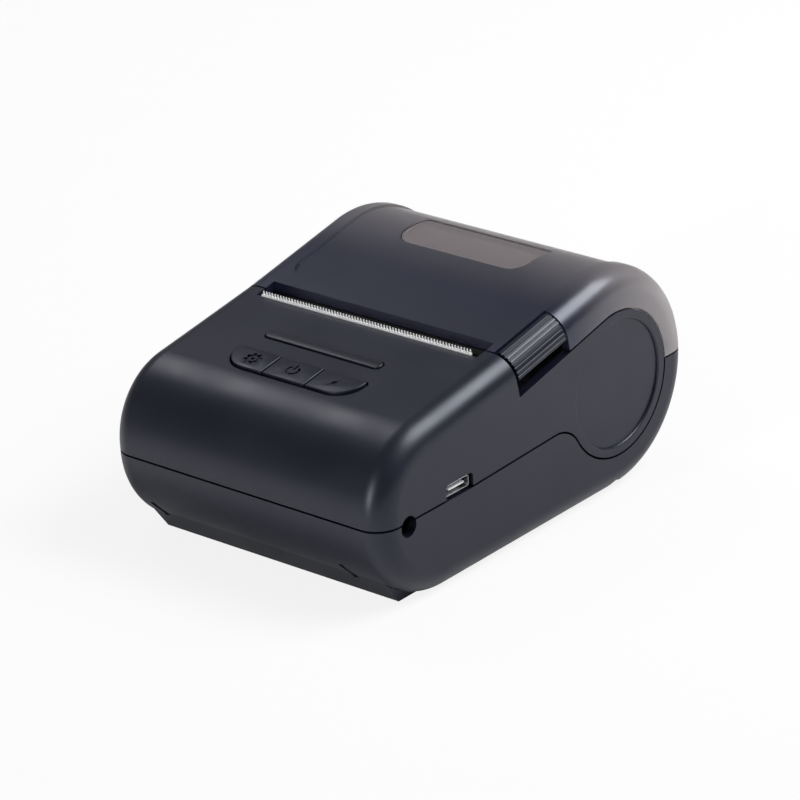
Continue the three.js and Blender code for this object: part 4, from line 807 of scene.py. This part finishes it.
PANEL_HALF, PANEL_FRONT_Y, PANEL_R = 29.3, -1.6, 5.5
WINDOW_HALF, WINDOW_FRONT_Y, WINDOW_BACK_Y, WINDOW_R, WINDOW_BACK_R = 16.8, 18.7, 30.7, 4, 0.9
WINDOW_SUNK, PANEL_LIP = 0.2, 0.3
FLANGE, FLANGE_THICK = 1.4, 1
LATCH_LONG, LATCH_IN_X, LATCH_GAP, LATCH_SKIN, LATCH_RECESS = 16.6, 32.05, 0.45, 1.5, 3.1
LATCH_AXIS_X, LATCH_AXIS_DEEP, LATCH_PIN_R = 33, 3.3, 0.6
LUG_LONG, LUG_R, POCKET_WALL = 1.6, 1.2, 1.2
RIB_GROOVE, RIB_FROM, RIB_TO, GROOVE_SIDES = 0.27, 10, 96, 12


def window_column(form, shrink):
    """An upright bar with the window's outline, drawn in by a distance."""
    outline = rounded_rect(shrink - WINDOW_HALF, WINDOW_HALF - shrink, WINDOW_FRONT_Y + shrink,
                           WINDOW_BACK_Y - shrink, WINDOW_R - shrink, WINDOW_BACK_R - shrink)
    return prism(outline, form.ring_z, form.height + OVER)


def latch_region(form, start, end, low):
    """Side view of what lies over the side line between two places along the cover's edge."""
    feet = []
    for along in (start, end):
        y, z = form.meet_side(along, 0)
        feet.append((y - form.COVER_SLOPE * low, z + low))
    return [*feet, form.on_seam(end, form.height / 4), form.on_seam(start, form.height / 4)]


def latch_ends(form):
    return form.seam / 2 + LATCH_GAP, form.seam / 2 + LATCH_LONG - LATCH_GAP


def latch_rod(form, radius, start, end, x=LATCH_AXIS_X, deep=LATCH_AXIS_DEEP, sides=SMALL_ROUND):
    """A rod that lies along the cover's slope at the latch's axis."""
    lying = Matrix(((0, 1, 0, 0), (0, 0, 1, 0), (1, 0, 0, 0), (0, 0, 0, 1)))
    return prism(circle(-deep, x, radius, sides), start, end, form.cover_frame @ lying)


def paper_cover(form):
    shell = meet(layer(form, 0, form.wall), across(form, form.cover_region()))
    pocket_x = LATCH_IN_X - LATCH_GAP
    wall = upper_block(form, pocket_x - POCKET_WALL, pocket_x, form.SEAM_Y, form.SEAM_Y + LATCH_LONG + form.wall)
    join(shell, meet(wall, form.body(0), across(form, form.cover_region())))
    pocket = latch_region(form, -OVER, form.seam / 2 + LATCH_LONG, -OVER)
    cut(shell, prism_x(pocket, pocket_x, form.width))
    near, far = latch_ends(form)
    for start in (near + OVER, far - OVER - LUG_LONG):
        lug = block(pocket_x - POCKET_WALL / 2, LATCH_AXIS_X - LATCH_PIN_R, start, start + LUG_LONG,
                    -LATCH_AXIS_DEEP - LUG_R, -LATCH_AXIS_DEEP + LUG_R, form.cover_frame)
        join(shell, join(lug, latch_rod(form, LUG_R - FIT, start, start + LUG_LONG)))
    cut(shell, latch_rod(form, LATCH_PIN_R + RUN / 2, -OVER, LATCH_LONG + OVER))
    cut(shell, upper_block(form, -MOUTH_HALF, MOUTH_HALF, form.SEAM_Y - OVER, MOUTH_BACK_Y))
    for grow, deep in ((0, form.panel_deep), (PANEL_LIP, form.panel_deep / 2)):
        half = PANEL_HALF + grow
        outline = rounded_rect(-half, half, PANEL_FRONT_Y - grow, form.depth, PANEL_R + grow)
        column = prism(outline, form.ring_z + form.back_r / 3, form.height + OVER)
        cut(shell, meet(layer(form, -OVER, deep), column))
    cut(shell, window_column(form, 0))
    hinge_y, hinge_z = hinge_place(form)
    cut(shell, block(-RELIEF_HALF, RELIEF_HALF, hinge_y - RUN, form.depth, form.height / 3,
                     hinge_z + RELIEF))
    for side in SIDES:
        web = block(side * HINGE_MID_X - COVER_KNUCKLE / 2, side * HINGE_MID_X + COVER_KNUCKLE / 2,
                    hinge_y - KNUCKLE_R, hinge_y + HINGE_INSET - RUN, hinge_z, hinge_z + RELIEF + OVER)
        join(shell, cover_knuckle(form, side), meet(web, form.body(0)))
        cut(shell, hinge_bore(form, side), *case_knuckles(form, side, FIT / 2, KNUCKLE_R + FIT))
    return shell


def roll_window(form):
    under = form.wall + FIT
    plug = meet(layer(form, form.panel_deep + WINDOW_SUNK, under + FLANGE_THICK), window_column(form, FIT))
    return join(plug, meet(layer(form, under, under + FLANGE_THICK), window_column(form, -FLANGE)))


def latch(form):
    """The lever: a slice of the body's rounded edge with grooves along it between the finger ribs."""
    near, far = latch_ends(form)
    lever = meet(layer(form, 0, LATCH_SKIN),
                 prism_x(latch_region(form, near, far, LATCH_RECESS), LATCH_IN_X, form.width))
    for start in (near + OVER + LUG_LONG + FIT, far - OVER - 2 * LUG_LONG - FIT):
        web = block(LATCH_AXIS_X, form.half - LATCH_SKIN / 2, start, start + LUG_LONG,
                    -LATCH_AXIS_DEEP - LUG_R, -LATCH_SKIN / 2, form.cover_frame)
        ear = latch_rod(form, LUG_R, start, start + LUG_LONG)
        join(lever, meet(web, form.body(0)), meet(ear, form.body(0)))
    cut(lever, latch_rod(form, LATCH_PIN_R + RUN / 2, -OVER, LATCH_LONG + OVER))
    count = sizes().ribs
    for i in range(count):
        angle = math.radians(RIB_FROM + (RIB_TO - RIB_FROM) * i / max(1, count - 1))
        x, deep = form.flat + form.edge * math.sin(angle), form.edge * (1 - math.cos(angle))
        lever = cut(lever, latch_rod(form, RIB_GROOVE, -OVER, LATCH_LONG + OVER, x, deep, GROOVE_SIDES))
    return lever


# Keys, strip, tear bar and socket

ICON_DEEP, ICON_LINE, ICON_SIDES = 0.4, 0.5, 20
KEY_GAP, KEY_EDGE, PLUNGER_R, PLUNGER_LOW = 0.42, 0.22, 2, 2.6
STRIP_EDGE, STRIP_LOW = 0.2, 2.4


def stroke(points, width):
    """An outline of even width along a line of points."""
    left, right = [], []
    for i, (x, y) in enumerate(points):
        x0, y0 = points[max(0, i - 1)]
        x1, y1 = points[min(len(points) - 1, i + 1)]
        long = math.hypot(x1 - x0, y1 - y0)
        ox, oy = -(y1 - y0) / long * width / 2, (x1 - x0) / long * width / 2
        left.append((x + ox, y + oy))
        right.append((x - ox, y - oy))
    return left + right[::-1]


GEAR_TIP, GEAR_ROOT, GEAR_EYE, GEAR_TEETH = 2.1, 1.5, 0.45, 8
POWER_R, POWER_BAR, POWER_OPEN = 1.35, (0.2, 2), (125, 415, 30)
BOLT = ((1.2, 1.6), (-0.9, -0.15), (-0.1, -0.15), (-1.2, -1.6), (0.95, 0.25), (0.15, 0.25))


def gear_icon(x, y):
    """A ring of teeth round a hole, for settings."""
    outline = []
    count = GEAR_TEETH * 4
    for i in range(count):
        radius = GEAR_TIP if i % 4 in (1, 2) else GEAR_ROOT
        angle = 2 * math.pi * (i + 0.5) / count
        outline.append((x + radius * math.cos(angle), y + radius * math.sin(angle)))
    hole, eye = (circle(x, y, radius, ICON_SIDES) for radius in (GEAR_ROOT - ICON_LINE, GEAR_EYE))
    return [outline], [hole], [eye]


def power_icon(x, y):
    """An open ring and a short bar."""
    ring = stroke(arc(x, y, POWER_R, *POWER_OPEN), ICON_LINE)
    return [ring, stroke([(x, y + reach) for reach in POWER_BAR], ICON_LINE)], [], []


def bolt_icon(x, y):
    """A slanted lightning bolt."""
    return [[(x + a, y + b) for a, b in BOLT]], [], []


KEYS = (("settings", gear_icon), ("power", power_icon), ("feed", bolt_icon))
SIGN_ASIDE = (0.8, 0, -0.6)


def key(form, index):
    """One plate of the key pad, with its sign sunk into the top and a plunger below."""
    edges = [CONTROLS_X + x for x in (-PAD_HALF, -KEY_SPLIT, KEY_SPLIT, PAD_HALF)]
    low, high = form.up_housing(PAD_LOW_Y), form.up_housing(PAD_TOP_Y)
    frame_up = form.housing_frame
    whole = prism(pad_outline(form, KEY_GAP), -form.wall - RUN, KEY_PROUD, frame_up)
    share = rounded_rect(edges[index] + KEY_GAP / 2, edges[index + 1] - KEY_GAP / 2, low - OVER, high + OVER,
                         RUN / 2)
    plate = meet(whole, prism(share, -BIG, BIG, frame_up))
    settle(bevelled(plate, KEY_EDGE, segments=3))
    x, y = (edges[index] + edges[index + 1]) / 2, (low + high) / 2
    join(plate, prism(circle(x, y, PLUNGER_R), -PLUNGER_LOW - RUN, -form.wall, frame_up))
    lines, islands, dots = KEYS[index][1](x + SIGN_ASIDE[index], y)
    for line in lines:
        sign = prism(line, KEY_PROUD - ICON_DEEP, KEY_PROUD + OVER, frame_up)
        for island in islands:
            cut(sign, prism(island, -BIG, BIG, frame_up))
        cut(plate, sign)
    for dot in dots:
        cut(plate, prism(dot, KEY_PROUD - ICON_DEEP, KEY_PROUD + OVER, frame_up))
    return plate


def light_strip(form):
    bar = prism(strip_outline(form, FIT), -STRIP_LOW, STRIP_PROUD, form.housing_frame)
    settle(bevelled(bar, STRIP_EDGE, segments=3))
    flange = prism(strip_outline(form, -OVER), -STRIP_LOW - OVER, -form.wall - FIT, form.housing_frame)
    return join(bar, flange)


BLADE_HALF, BLADE_BACK, BLADE_THICK, BLADE_PROUD, BLADE_FOOT = 28, -0.1, 0.3, 0.25, 3
BLADE_SLOPE = (0.5, 0.2)
COMB_TEETH, COMB_HIGH, COMB_BASE, COMB_TIP = 72, 0.7, 0.3, 0.16


def tear_comb(form):
    """The tear bar: a strip on a foot under the housing, bent up at its edge into a fine upright comb."""
    front_y = MOUTH_FRONT_Y + BLADE_BACK
    bend_z = form.housing_top(front_y) + BLADE_PROUD
    run, rise = BLADE_SLOPE
    back_y, edge_z = front_y + run, bend_z + rise
    section = [(front_y, bend_z), (back_y, edge_z), (back_y, edge_z - BLADE_THICK),
               (front_y + BLADE_THICK, bend_z - BLADE_THICK), (front_y + BLADE_THICK, bend_z - BLADE_FOOT),
               (front_y, bend_z - BLADE_FOOT)]
    pitch = 2 * BLADE_HALF / COMB_TEETH
    edge = [(-BLADE_HALF, edge_z - BLADE_THICK), (BLADE_HALF, edge_z - BLADE_THICK), (BLADE_HALF, edge_z)]
    for i in reversed(range(COMB_TEETH)):
        middle = -BLADE_HALF + pitch * (i + 0.5)
        edge += [(middle + COMB_BASE / 2, edge_z), (middle + COMB_TIP / 2, edge_z + COMB_HIGH),
                 (middle - COMB_TIP / 2, edge_z + COMB_HIGH), (middle - COMB_BASE / 2, edge_z)]
    edge.append((-BLADE_HALF, edge_z))
    upright = Matrix(((1, 0, 0, 0), (0, 0, -1, 0), (0, 1, 0, 0), (0, 0, 0, 1)))
    comb = prism(edge, -back_y, BLADE_THICK - back_y, upright)
    return join(prism_x(section, -BLADE_HALF, BLADE_HALF), comb)


SOCKET_R, TONGUE_HALF, TONGUE_HIGH, PLATE_THICK = 0.7, 2.3, 0.25, 0.08
SHELL_EDGE, PLATE_EDGE, CORE_PLAY = 0.08, 0.05, 0.02


def socket_bar(form, inset, start, end):
    """A bar with the socket's rounded section drawn in, between two depths behind its mouth."""
    low, mouth_x = form.parting + FIT, form.half - USB_BACK
    outline = rounded_rect(USB_Y - USB_LONG / 2 + inset, USB_Y + USB_LONG / 2 - inset,
                           low + inset, low + USB_HIGH - inset, SOCKET_R - inset)
    return prism_x(outline, mouth_x - start, mouth_x - end)


def tongue_bar(form, grow, start, end):
    """A flat bar that lies as the socket's tongue does, between two depths behind the mouth."""
    mouth_x, middle = form.half - USB_BACK, form.parting + FIT + USB_HIGH / 2
    half, high = TONGUE_HALF + grow, TONGUE_HIGH / 2 + grow
    return block(mouth_x - start, mouth_x - end, USB_Y - half, USB_Y + half, middle - high, middle + high)


def socket_shell(form):
    """The bent steel shell of the charging socket."""
    tube, bore = socket_bar(form, 0, USB_DEEP, 0), socket_bar(form, USB_WALL, USB_DEEP + OVER, -OVER)
    return settle(bevelled(cut(tube, bore), SHELL_EDGE))


def socket_core(form):
    """The black insulator with its tongue."""
    back = socket_bar(form, USB_WALL + CORE_PLAY, USB_DEEP, USB_DEEP / 2)
    return join(back, tongue_bar(form, 0, USB_DEEP, USB_WALL * 2))


def tongue_plate(form):
    """The thin steel cap folded over the front of the tongue."""
    cap = tongue_bar(form, PLATE_THICK, USB_DEEP / 2, USB_WALL)
    room = tongue_bar(form, 0, USB_DEEP / 2 + OVER, USB_WALL * 2)
    return settle(bevelled(cut(cap, room), PLATE_EDGE))


# The studio

CAMERA_AT = (536.0, -612.05, 382.1)
CAMERA_RIGHT = (0.765, 0.6422, -0.0494)
CAMERA_UP = (-0.2266, 0.3401, 0.9127)
LENS_PIXELS = 4296
PHOTO_PIXELS = 800
SENSOR = 36
FAR_CLIP = 100
LAMPS_AIM = (0, 0, 0.02)


def camera():
    """The photograph's view, a long lens from the right front."""
    data = bpy.data.cameras.new("photo_view")
    data.sensor_width = SENSOR
    data.lens = LENS_PIXELS / PHOTO_PIXELS * SENSOR
    data.clip_end = FAR_CLIP
    eye = bpy.data.objects.new("photo_view", data)
    right, up = Vector(CAMERA_RIGHT).normalized(), Vector(CAMERA_UP)
    back = right.cross(up).normalized()
    up = back.cross(right)
    turn = Matrix((right, up, back)).transposed().to_4x4()
    eye.matrix_world = Matrix.Translation(Vector(CAMERA_AT) * MM) @ turn
    bpy.context.scene.collection.objects.link(eye)
    bpy.context.scene.camera = eye


def soft_light(name, toward, distance, wide, high, watts):
    """A soft box that shines at the printer from a direction."""
    data = bpy.data.lights.new(name, "AREA")
    data.shape = "RECTANGLE"
    data.size, data.size_y = wide, high
    data.energy = watts
    lamp = bpy.data.objects.new(name, data)
    aim = Vector(toward).normalized()
    lamp.location = aim * distance + Vector(LAMPS_AIM)
    lamp.rotation_euler = aim.to_track_quat("Z", "Y").to_euler()
    bpy.context.scene.collection.objects.link(lamp)


# How far the paper goes to pure white when it is looked at, and when it is seen mirrored in the printer;
# the rest is its own lit surface, with the printer's shadow
FLOOR_PLAIN, FLOOR_MIRRORED, FLOOR_REACH = 0.85, 0.1, 3
PAPER_FIBRE, PAPER_DIM, PAPER_BRIGHT, PAPER_ROUGH = 2, 0.93, 0.95, 0.5
# The walls light the printer at WALLS; mirrored rays see the white background at a share, so that
# the dark satin plastic isn't washed out while metal and clear plastic still pick it up
WALLS, MIRRORED = 0.16, 0.05


def toward_white(tree, plain, mirrored):
    """A share of pure white: plain where something is looked at, mirrored where it is seen in a gloss."""
    rays = add(tree, "ShaderNodeLightPath").outputs
    direct = add(tree, "ShaderNodeMath", {0: rays["Is Camera Ray"], 1: rays["Is Transmission Ray"]},
                 operation="MAXIMUM")
    shares = [add(tree, "ShaderNodeMath", {0: seen, 1: share}, operation="MULTIPLY").outputs[0]
              for seen, share in ((direct.outputs[0], plain), (rays["Is Glossy Ray"], mirrored))]
    return add(tree, "ShaderNodeMath", dict(enumerate(shares)), operation="MAXIMUM").outputs[0]


def sweep_paper():
    """Matt white studio paper: pure white to the camera apart from the printer's own shadow."""
    material = bpy.data.materials.new("sweep_paper")
    tree = emptied(material)
    fibre = noise(tree, add(tree, "ShaderNodeTexCoord").outputs["Object"], PAPER_FIBRE)
    tone = mixed(tree, fibre, rgba(colours().floor, PAPER_DIM), rgba(colours().floor, PAPER_BRIGHT))
    matt = add(tree, "ShaderNodeBsdfDiffuse", {"Color": tone, "Roughness": PAPER_ROUGH})
    glow = add(tree, "ShaderNodeEmission", {"Color": rgba(colours().floor), "Strength": 1.0})
    share = toward_white(tree, FLOOR_PLAIN, FLOOR_MIRRORED)
    both = add(tree, "ShaderNodeMixShader", {0: share, 1: matt.outputs[0], 2: glow.outputs[0]})
    add(tree, "ShaderNodeOutputMaterial", {"Surface": both.outputs[0]})
    return material


def studio():
    scene = bpy.context.scene
    scene.view_settings.view_transform = "Standard"
    scene.world = bpy.data.worlds.new("studio")
    tree = emptied(scene.world)
    walls, white = (add(tree, "ShaderNodeBackground", {"Color": rgba(linear("#ffffff")), "Strength": power})
                    .outputs[0] for power in (WALLS, 1.0))
    both = add(tree, "ShaderNodeMixShader", {0: toward_white(tree, 1.0, MIRRORED), 1: walls, 2: white})
    add(tree, "ShaderNodeOutputWorld", {"Surface": both.outputs[0]})
    floor = bpy.data.meshes.new("floor")
    corners = [(x * FLOOR_REACH, y * FLOOR_REACH, 0) for x, y in ((-1, -1), (1, -1), (1, 1), (-1, 1))]
    floor.from_pydata(corners, [], [(0, 1, 2, 3)])
    floor.materials.append(sweep_paper())
    sheet = bpy.data.objects.new("floor", floor)
    scene.collection.objects.link(sheet)
    soft_light("rim_box", (0.48, 0.42, 0.76), 0.8, 0.47, 0.47, 6.4)
    soft_light("top_box", (-0.6, 0.14, 0.79), 0.9, 0.34, 0.3, 1.2)
    soft_light("front_strip", (-0.02, -0.98, 0.2), 0.9, 0.05, 0.35, 2.0)


# Operators: one for each piece or group of like pieces

class PieceMaker(bpy.types.Operator):
    """Makes a piece of the printer."""

    bl_options = {"REGISTER", "UNDO"}

    def execute(self, context):
        self.make(Form())
        return {"FINISHED"}


class PRINTER_OT_studio(PieceMaker):
    """Sets up the camera, the lights and the white sweep"""

    bl_idname = "printer.studio"
    bl_label = "Studio"

    def make(self, form):
        camera()
        studio()


class PRINTER_OT_lower_case(PieceMaker):
    """Makes the lower half of the case, from the parting line down to the flat base"""

    bl_idname = "printer.lower_case"
    bl_label = "Lower case"

    def make(self, form):
        finish_piece(lower_case(form), "lower_case", "case", spark_eroded_abs(),
                     ["lower_shell"], form)


class PRINTER_OT_upper_case(PieceMaker):
    """Makes the housing with the openings for the keys, the light strip, the paper and the socket"""

    bl_idname = "printer.upper_case"
    bl_label = "Upper case"

    def make(self, form):
        finish_piece(upper_case(form), "upper_case", "case", spark_eroded_abs(),
                     ["upper_housing"], form)


class PRINTER_OT_paper_cover(PieceMaker):
    """Makes the smoky cover with its sunk panel, hinge knuckles and latch pocket"""

    bl_idname = "printer.paper_cover"
    bl_label = "Paper cover"

    def make(self, form):
        finish_piece(paper_cover(form), "paper_cover", "cover", smoky_polycarbonate(),
                     ["cover"], form)


class PRINTER_OT_roll_window(PieceMaker):
    """Makes the clearer insert over the roll"""

    bl_idname = "printer.roll_window"
    bl_label = "Roll window"

    def make(self, form):
        finish_piece(roll_window(form), "roll_window", "cover", window_polycarbonate(),
                     ["cover_window"], form)


class PRINTER_OT_latch(PieceMaker):
    """Makes the ribbed latch lever at the cover's right edge"""

    bl_idname = "printer.latch"
    bl_label = "Latch"

    def make(self, form):
        satin = polished_abs("fingered_abs", colours().latch)
        finish_piece(latch(form), "ribbed_latch", "latch", satin, ["latch_lever"], form)


class PRINTER_OT_keys(PieceMaker):
    """Makes the three keys with their signs"""

    bl_idname = "printer.keys"
    bl_label = "Keys"

    def make(self, form):
        satin = polished_abs("key_abs", colours().keys)
        for index, (name, _) in enumerate(KEYS):
            finish_piece(key(form, index), f"{name}_key_cap", f"{name}_key", satin, [f"key_{name}"])


class PRINTER_OT_light_strip(PieceMaker):
    """Makes the smoked strip over the status lamps"""

    bl_idname = "printer.light_strip"
    bl_label = "Light strip"

    def make(self, form):
        finish_piece(light_strip(form), "smoked_strip", "case", smoked_lens(), ["light_strip"])


class PRINTER_OT_tear_bar(PieceMaker):
    """Makes the comb-edged tear bar at the front of the paper mouth"""

    bl_idname = "printer.tear_bar"
    bl_label = "Tear bar"

    def make(self, form):
        # The comb's near-white colour is partly painted highlight on its bright metal
        finish_piece(tear_comb(form), "tear_comb", "case", nickel_with_painted_glint(), ["tear_bar"])


class PRINTER_OT_socket(PieceMaker):
    """Makes the charging socket: bent shell, insulator and the cap on its tongue"""

    bl_idname = "printer.socket"
    bl_label = "Charging socket"

    def make(self, form):
        finish_piece(socket_shell(form), "socket_shell", "case", bright_steel(), ["usb_socket"])
        finish_piece(socket_core(form), "socket_core", "case", black_moulding())
        # The tongue's cap takes the same near-white colour, a painted highlight on its front edge
        finish_piece(tongue_plate(form), "socket_tongue_cap", "case", nickel_with_painted_glint())


NODE_FINISHES = (
    (spark_eroded_abs, ("battery_cover",)),
    (shrink_sleeve, ("battery_pack",)),
    (solder_mask, ("main_board", "key_board")),
    (bright_steel, ("strap_pin", "motor_shaft", "idler_stud", "hinge_pin_left", "hinge_pin_right",
                    "latch_pin", "latch_spring", "head_spring_left", "head_spring_right", "platen_shaft")),
    (cast_zinc, ("radio_module", "mechanism_frame", "stepper_motor", "case_screw_front_left",
                 "case_screw_front_right", "case_screw_rear_left", "case_screw_rear_right",
                 "key_board_screw_left", "key_board_screw_right", "switch_settings", "switch_power", "switch_feed")),
    (glazed_ceramic, ("print_head",)),
    (anodised_aluminium, ("head_heat_sink",)),
    (natural_acetal, ("motor_pinion", "idler_gear", "platen_gear", "platen_bush_left", "platen_bush_right")),
    (black_moulding, ("paper_bin", "paper_sensor", "platen_holder")),
    (ground_rubber, ("platen_roller",)),
    (smoked_lens, ("status_led_left", "status_led_middle", "status_led_right")),
)


NODE_EDGE, NODE_EDGE_DEG = 0.08, 40


def smooth_by_angle():
    """Shades round hardware smooth and keeps its edges crisp."""
    name = "smooth_by_angle"
    if name in bpy.data.node_groups:
        return bpy.data.node_groups[name]
    tree = bpy.data.node_groups.new(name, "GeometryNodeTree")
    for way in ("INPUT", "OUTPUT"):
        tree.interface.new_socket("Geometry", in_out=way, socket_type="NodeSocketGeometry")
    shape = add(tree, "NodeGroupInput").outputs["Geometry"]
    turn = add(tree, "GeometryNodeInputMeshEdgeAngle").outputs["Unsigned Angle"]
    crisp = add(tree, "FunctionNodeCompare", {0: turn, 1: math.radians(SMOOTH_DEG)}, operation="LESS_THAN")
    for domain, smooth in (("EDGE", crisp.outputs[0]), ("FACE", True)):
        shape = add(tree, "GeometryNodeSetShadeSmooth", {"Geometry": shape, "Shade Smooth": smooth},
                    domain=domain).outputs["Geometry"]
    add(tree, "NodeGroupOutput", {"Geometry": shape})
    return tree


class PRINTER_OT_inner_finishes(PieceMaker):
    """Gives the mechanism, boards, battery and small hardware their finishes and softened edges"""

    bl_idname = "printer.inner_finishes"
    bl_label = "Inner finishes"

    def make(self, form):
        for finish, names in NODE_FINISHES:
            for name in names:
                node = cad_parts[name]
                node.data.materials.clear()
                node.data.materials.append(finish())
                bevelled(node, NODE_EDGE * MM, NODE_EDGE_DEG)
                node.modifiers.new("round", "NODES").node_group = smooth_by_angle()


class PRINTER_PT_pieces(bpy.types.Panel):
    """Lists the printer's pieces in the sidebar"""

    bl_idname = "PRINTER_PT_pieces"
    bl_label = "Receipt printer"
    bl_space_type = "VIEW_3D"
    bl_region_type = "UI"
    bl_category = "Printer"

    def draw(self, context):
        for group in (context.scene.printer_sizes, context.scene.printer_colours):
            for name in group.bl_rna.properties.keys():
                if name not in ("rna_type", "name"):
                    self.layout.prop(group, name)
        for maker in MAKERS:
            self.layout.operator(maker.bl_idname)


MAKERS = (
    PRINTER_OT_studio, PRINTER_OT_lower_case, PRINTER_OT_upper_case, PRINTER_OT_paper_cover,
    PRINTER_OT_roll_window, PRINTER_OT_latch, PRINTER_OT_keys, PRINTER_OT_light_strip, PRINTER_OT_tear_bar,
    PRINTER_OT_socket, PRINTER_OT_inner_finishes,
)
CLASSES = (PrinterSizes, PrinterColours, *MAKERS, PRINTER_PT_pieces)


def register():
    for item in CLASSES:
        bpy.utils.register_class(item)
    bpy.types.Scene.printer_sizes = PointerProperty(type=PrinterSizes)
    bpy.types.Scene.printer_colours = PointerProperty(type=PrinterColours)


def unregister():
    del bpy.types.Scene.printer_colours
    del bpy.types.Scene.printer_sizes
    for item in reversed(CLASSES):
        bpy.utils.unregister_class(item)


def main():
    register()
    for maker in MAKERS:
        group, name = maker.bl_idname.split(".")
        getattr(getattr(bpy.ops, group), name)()


if __name__ == "__main__":
    main()
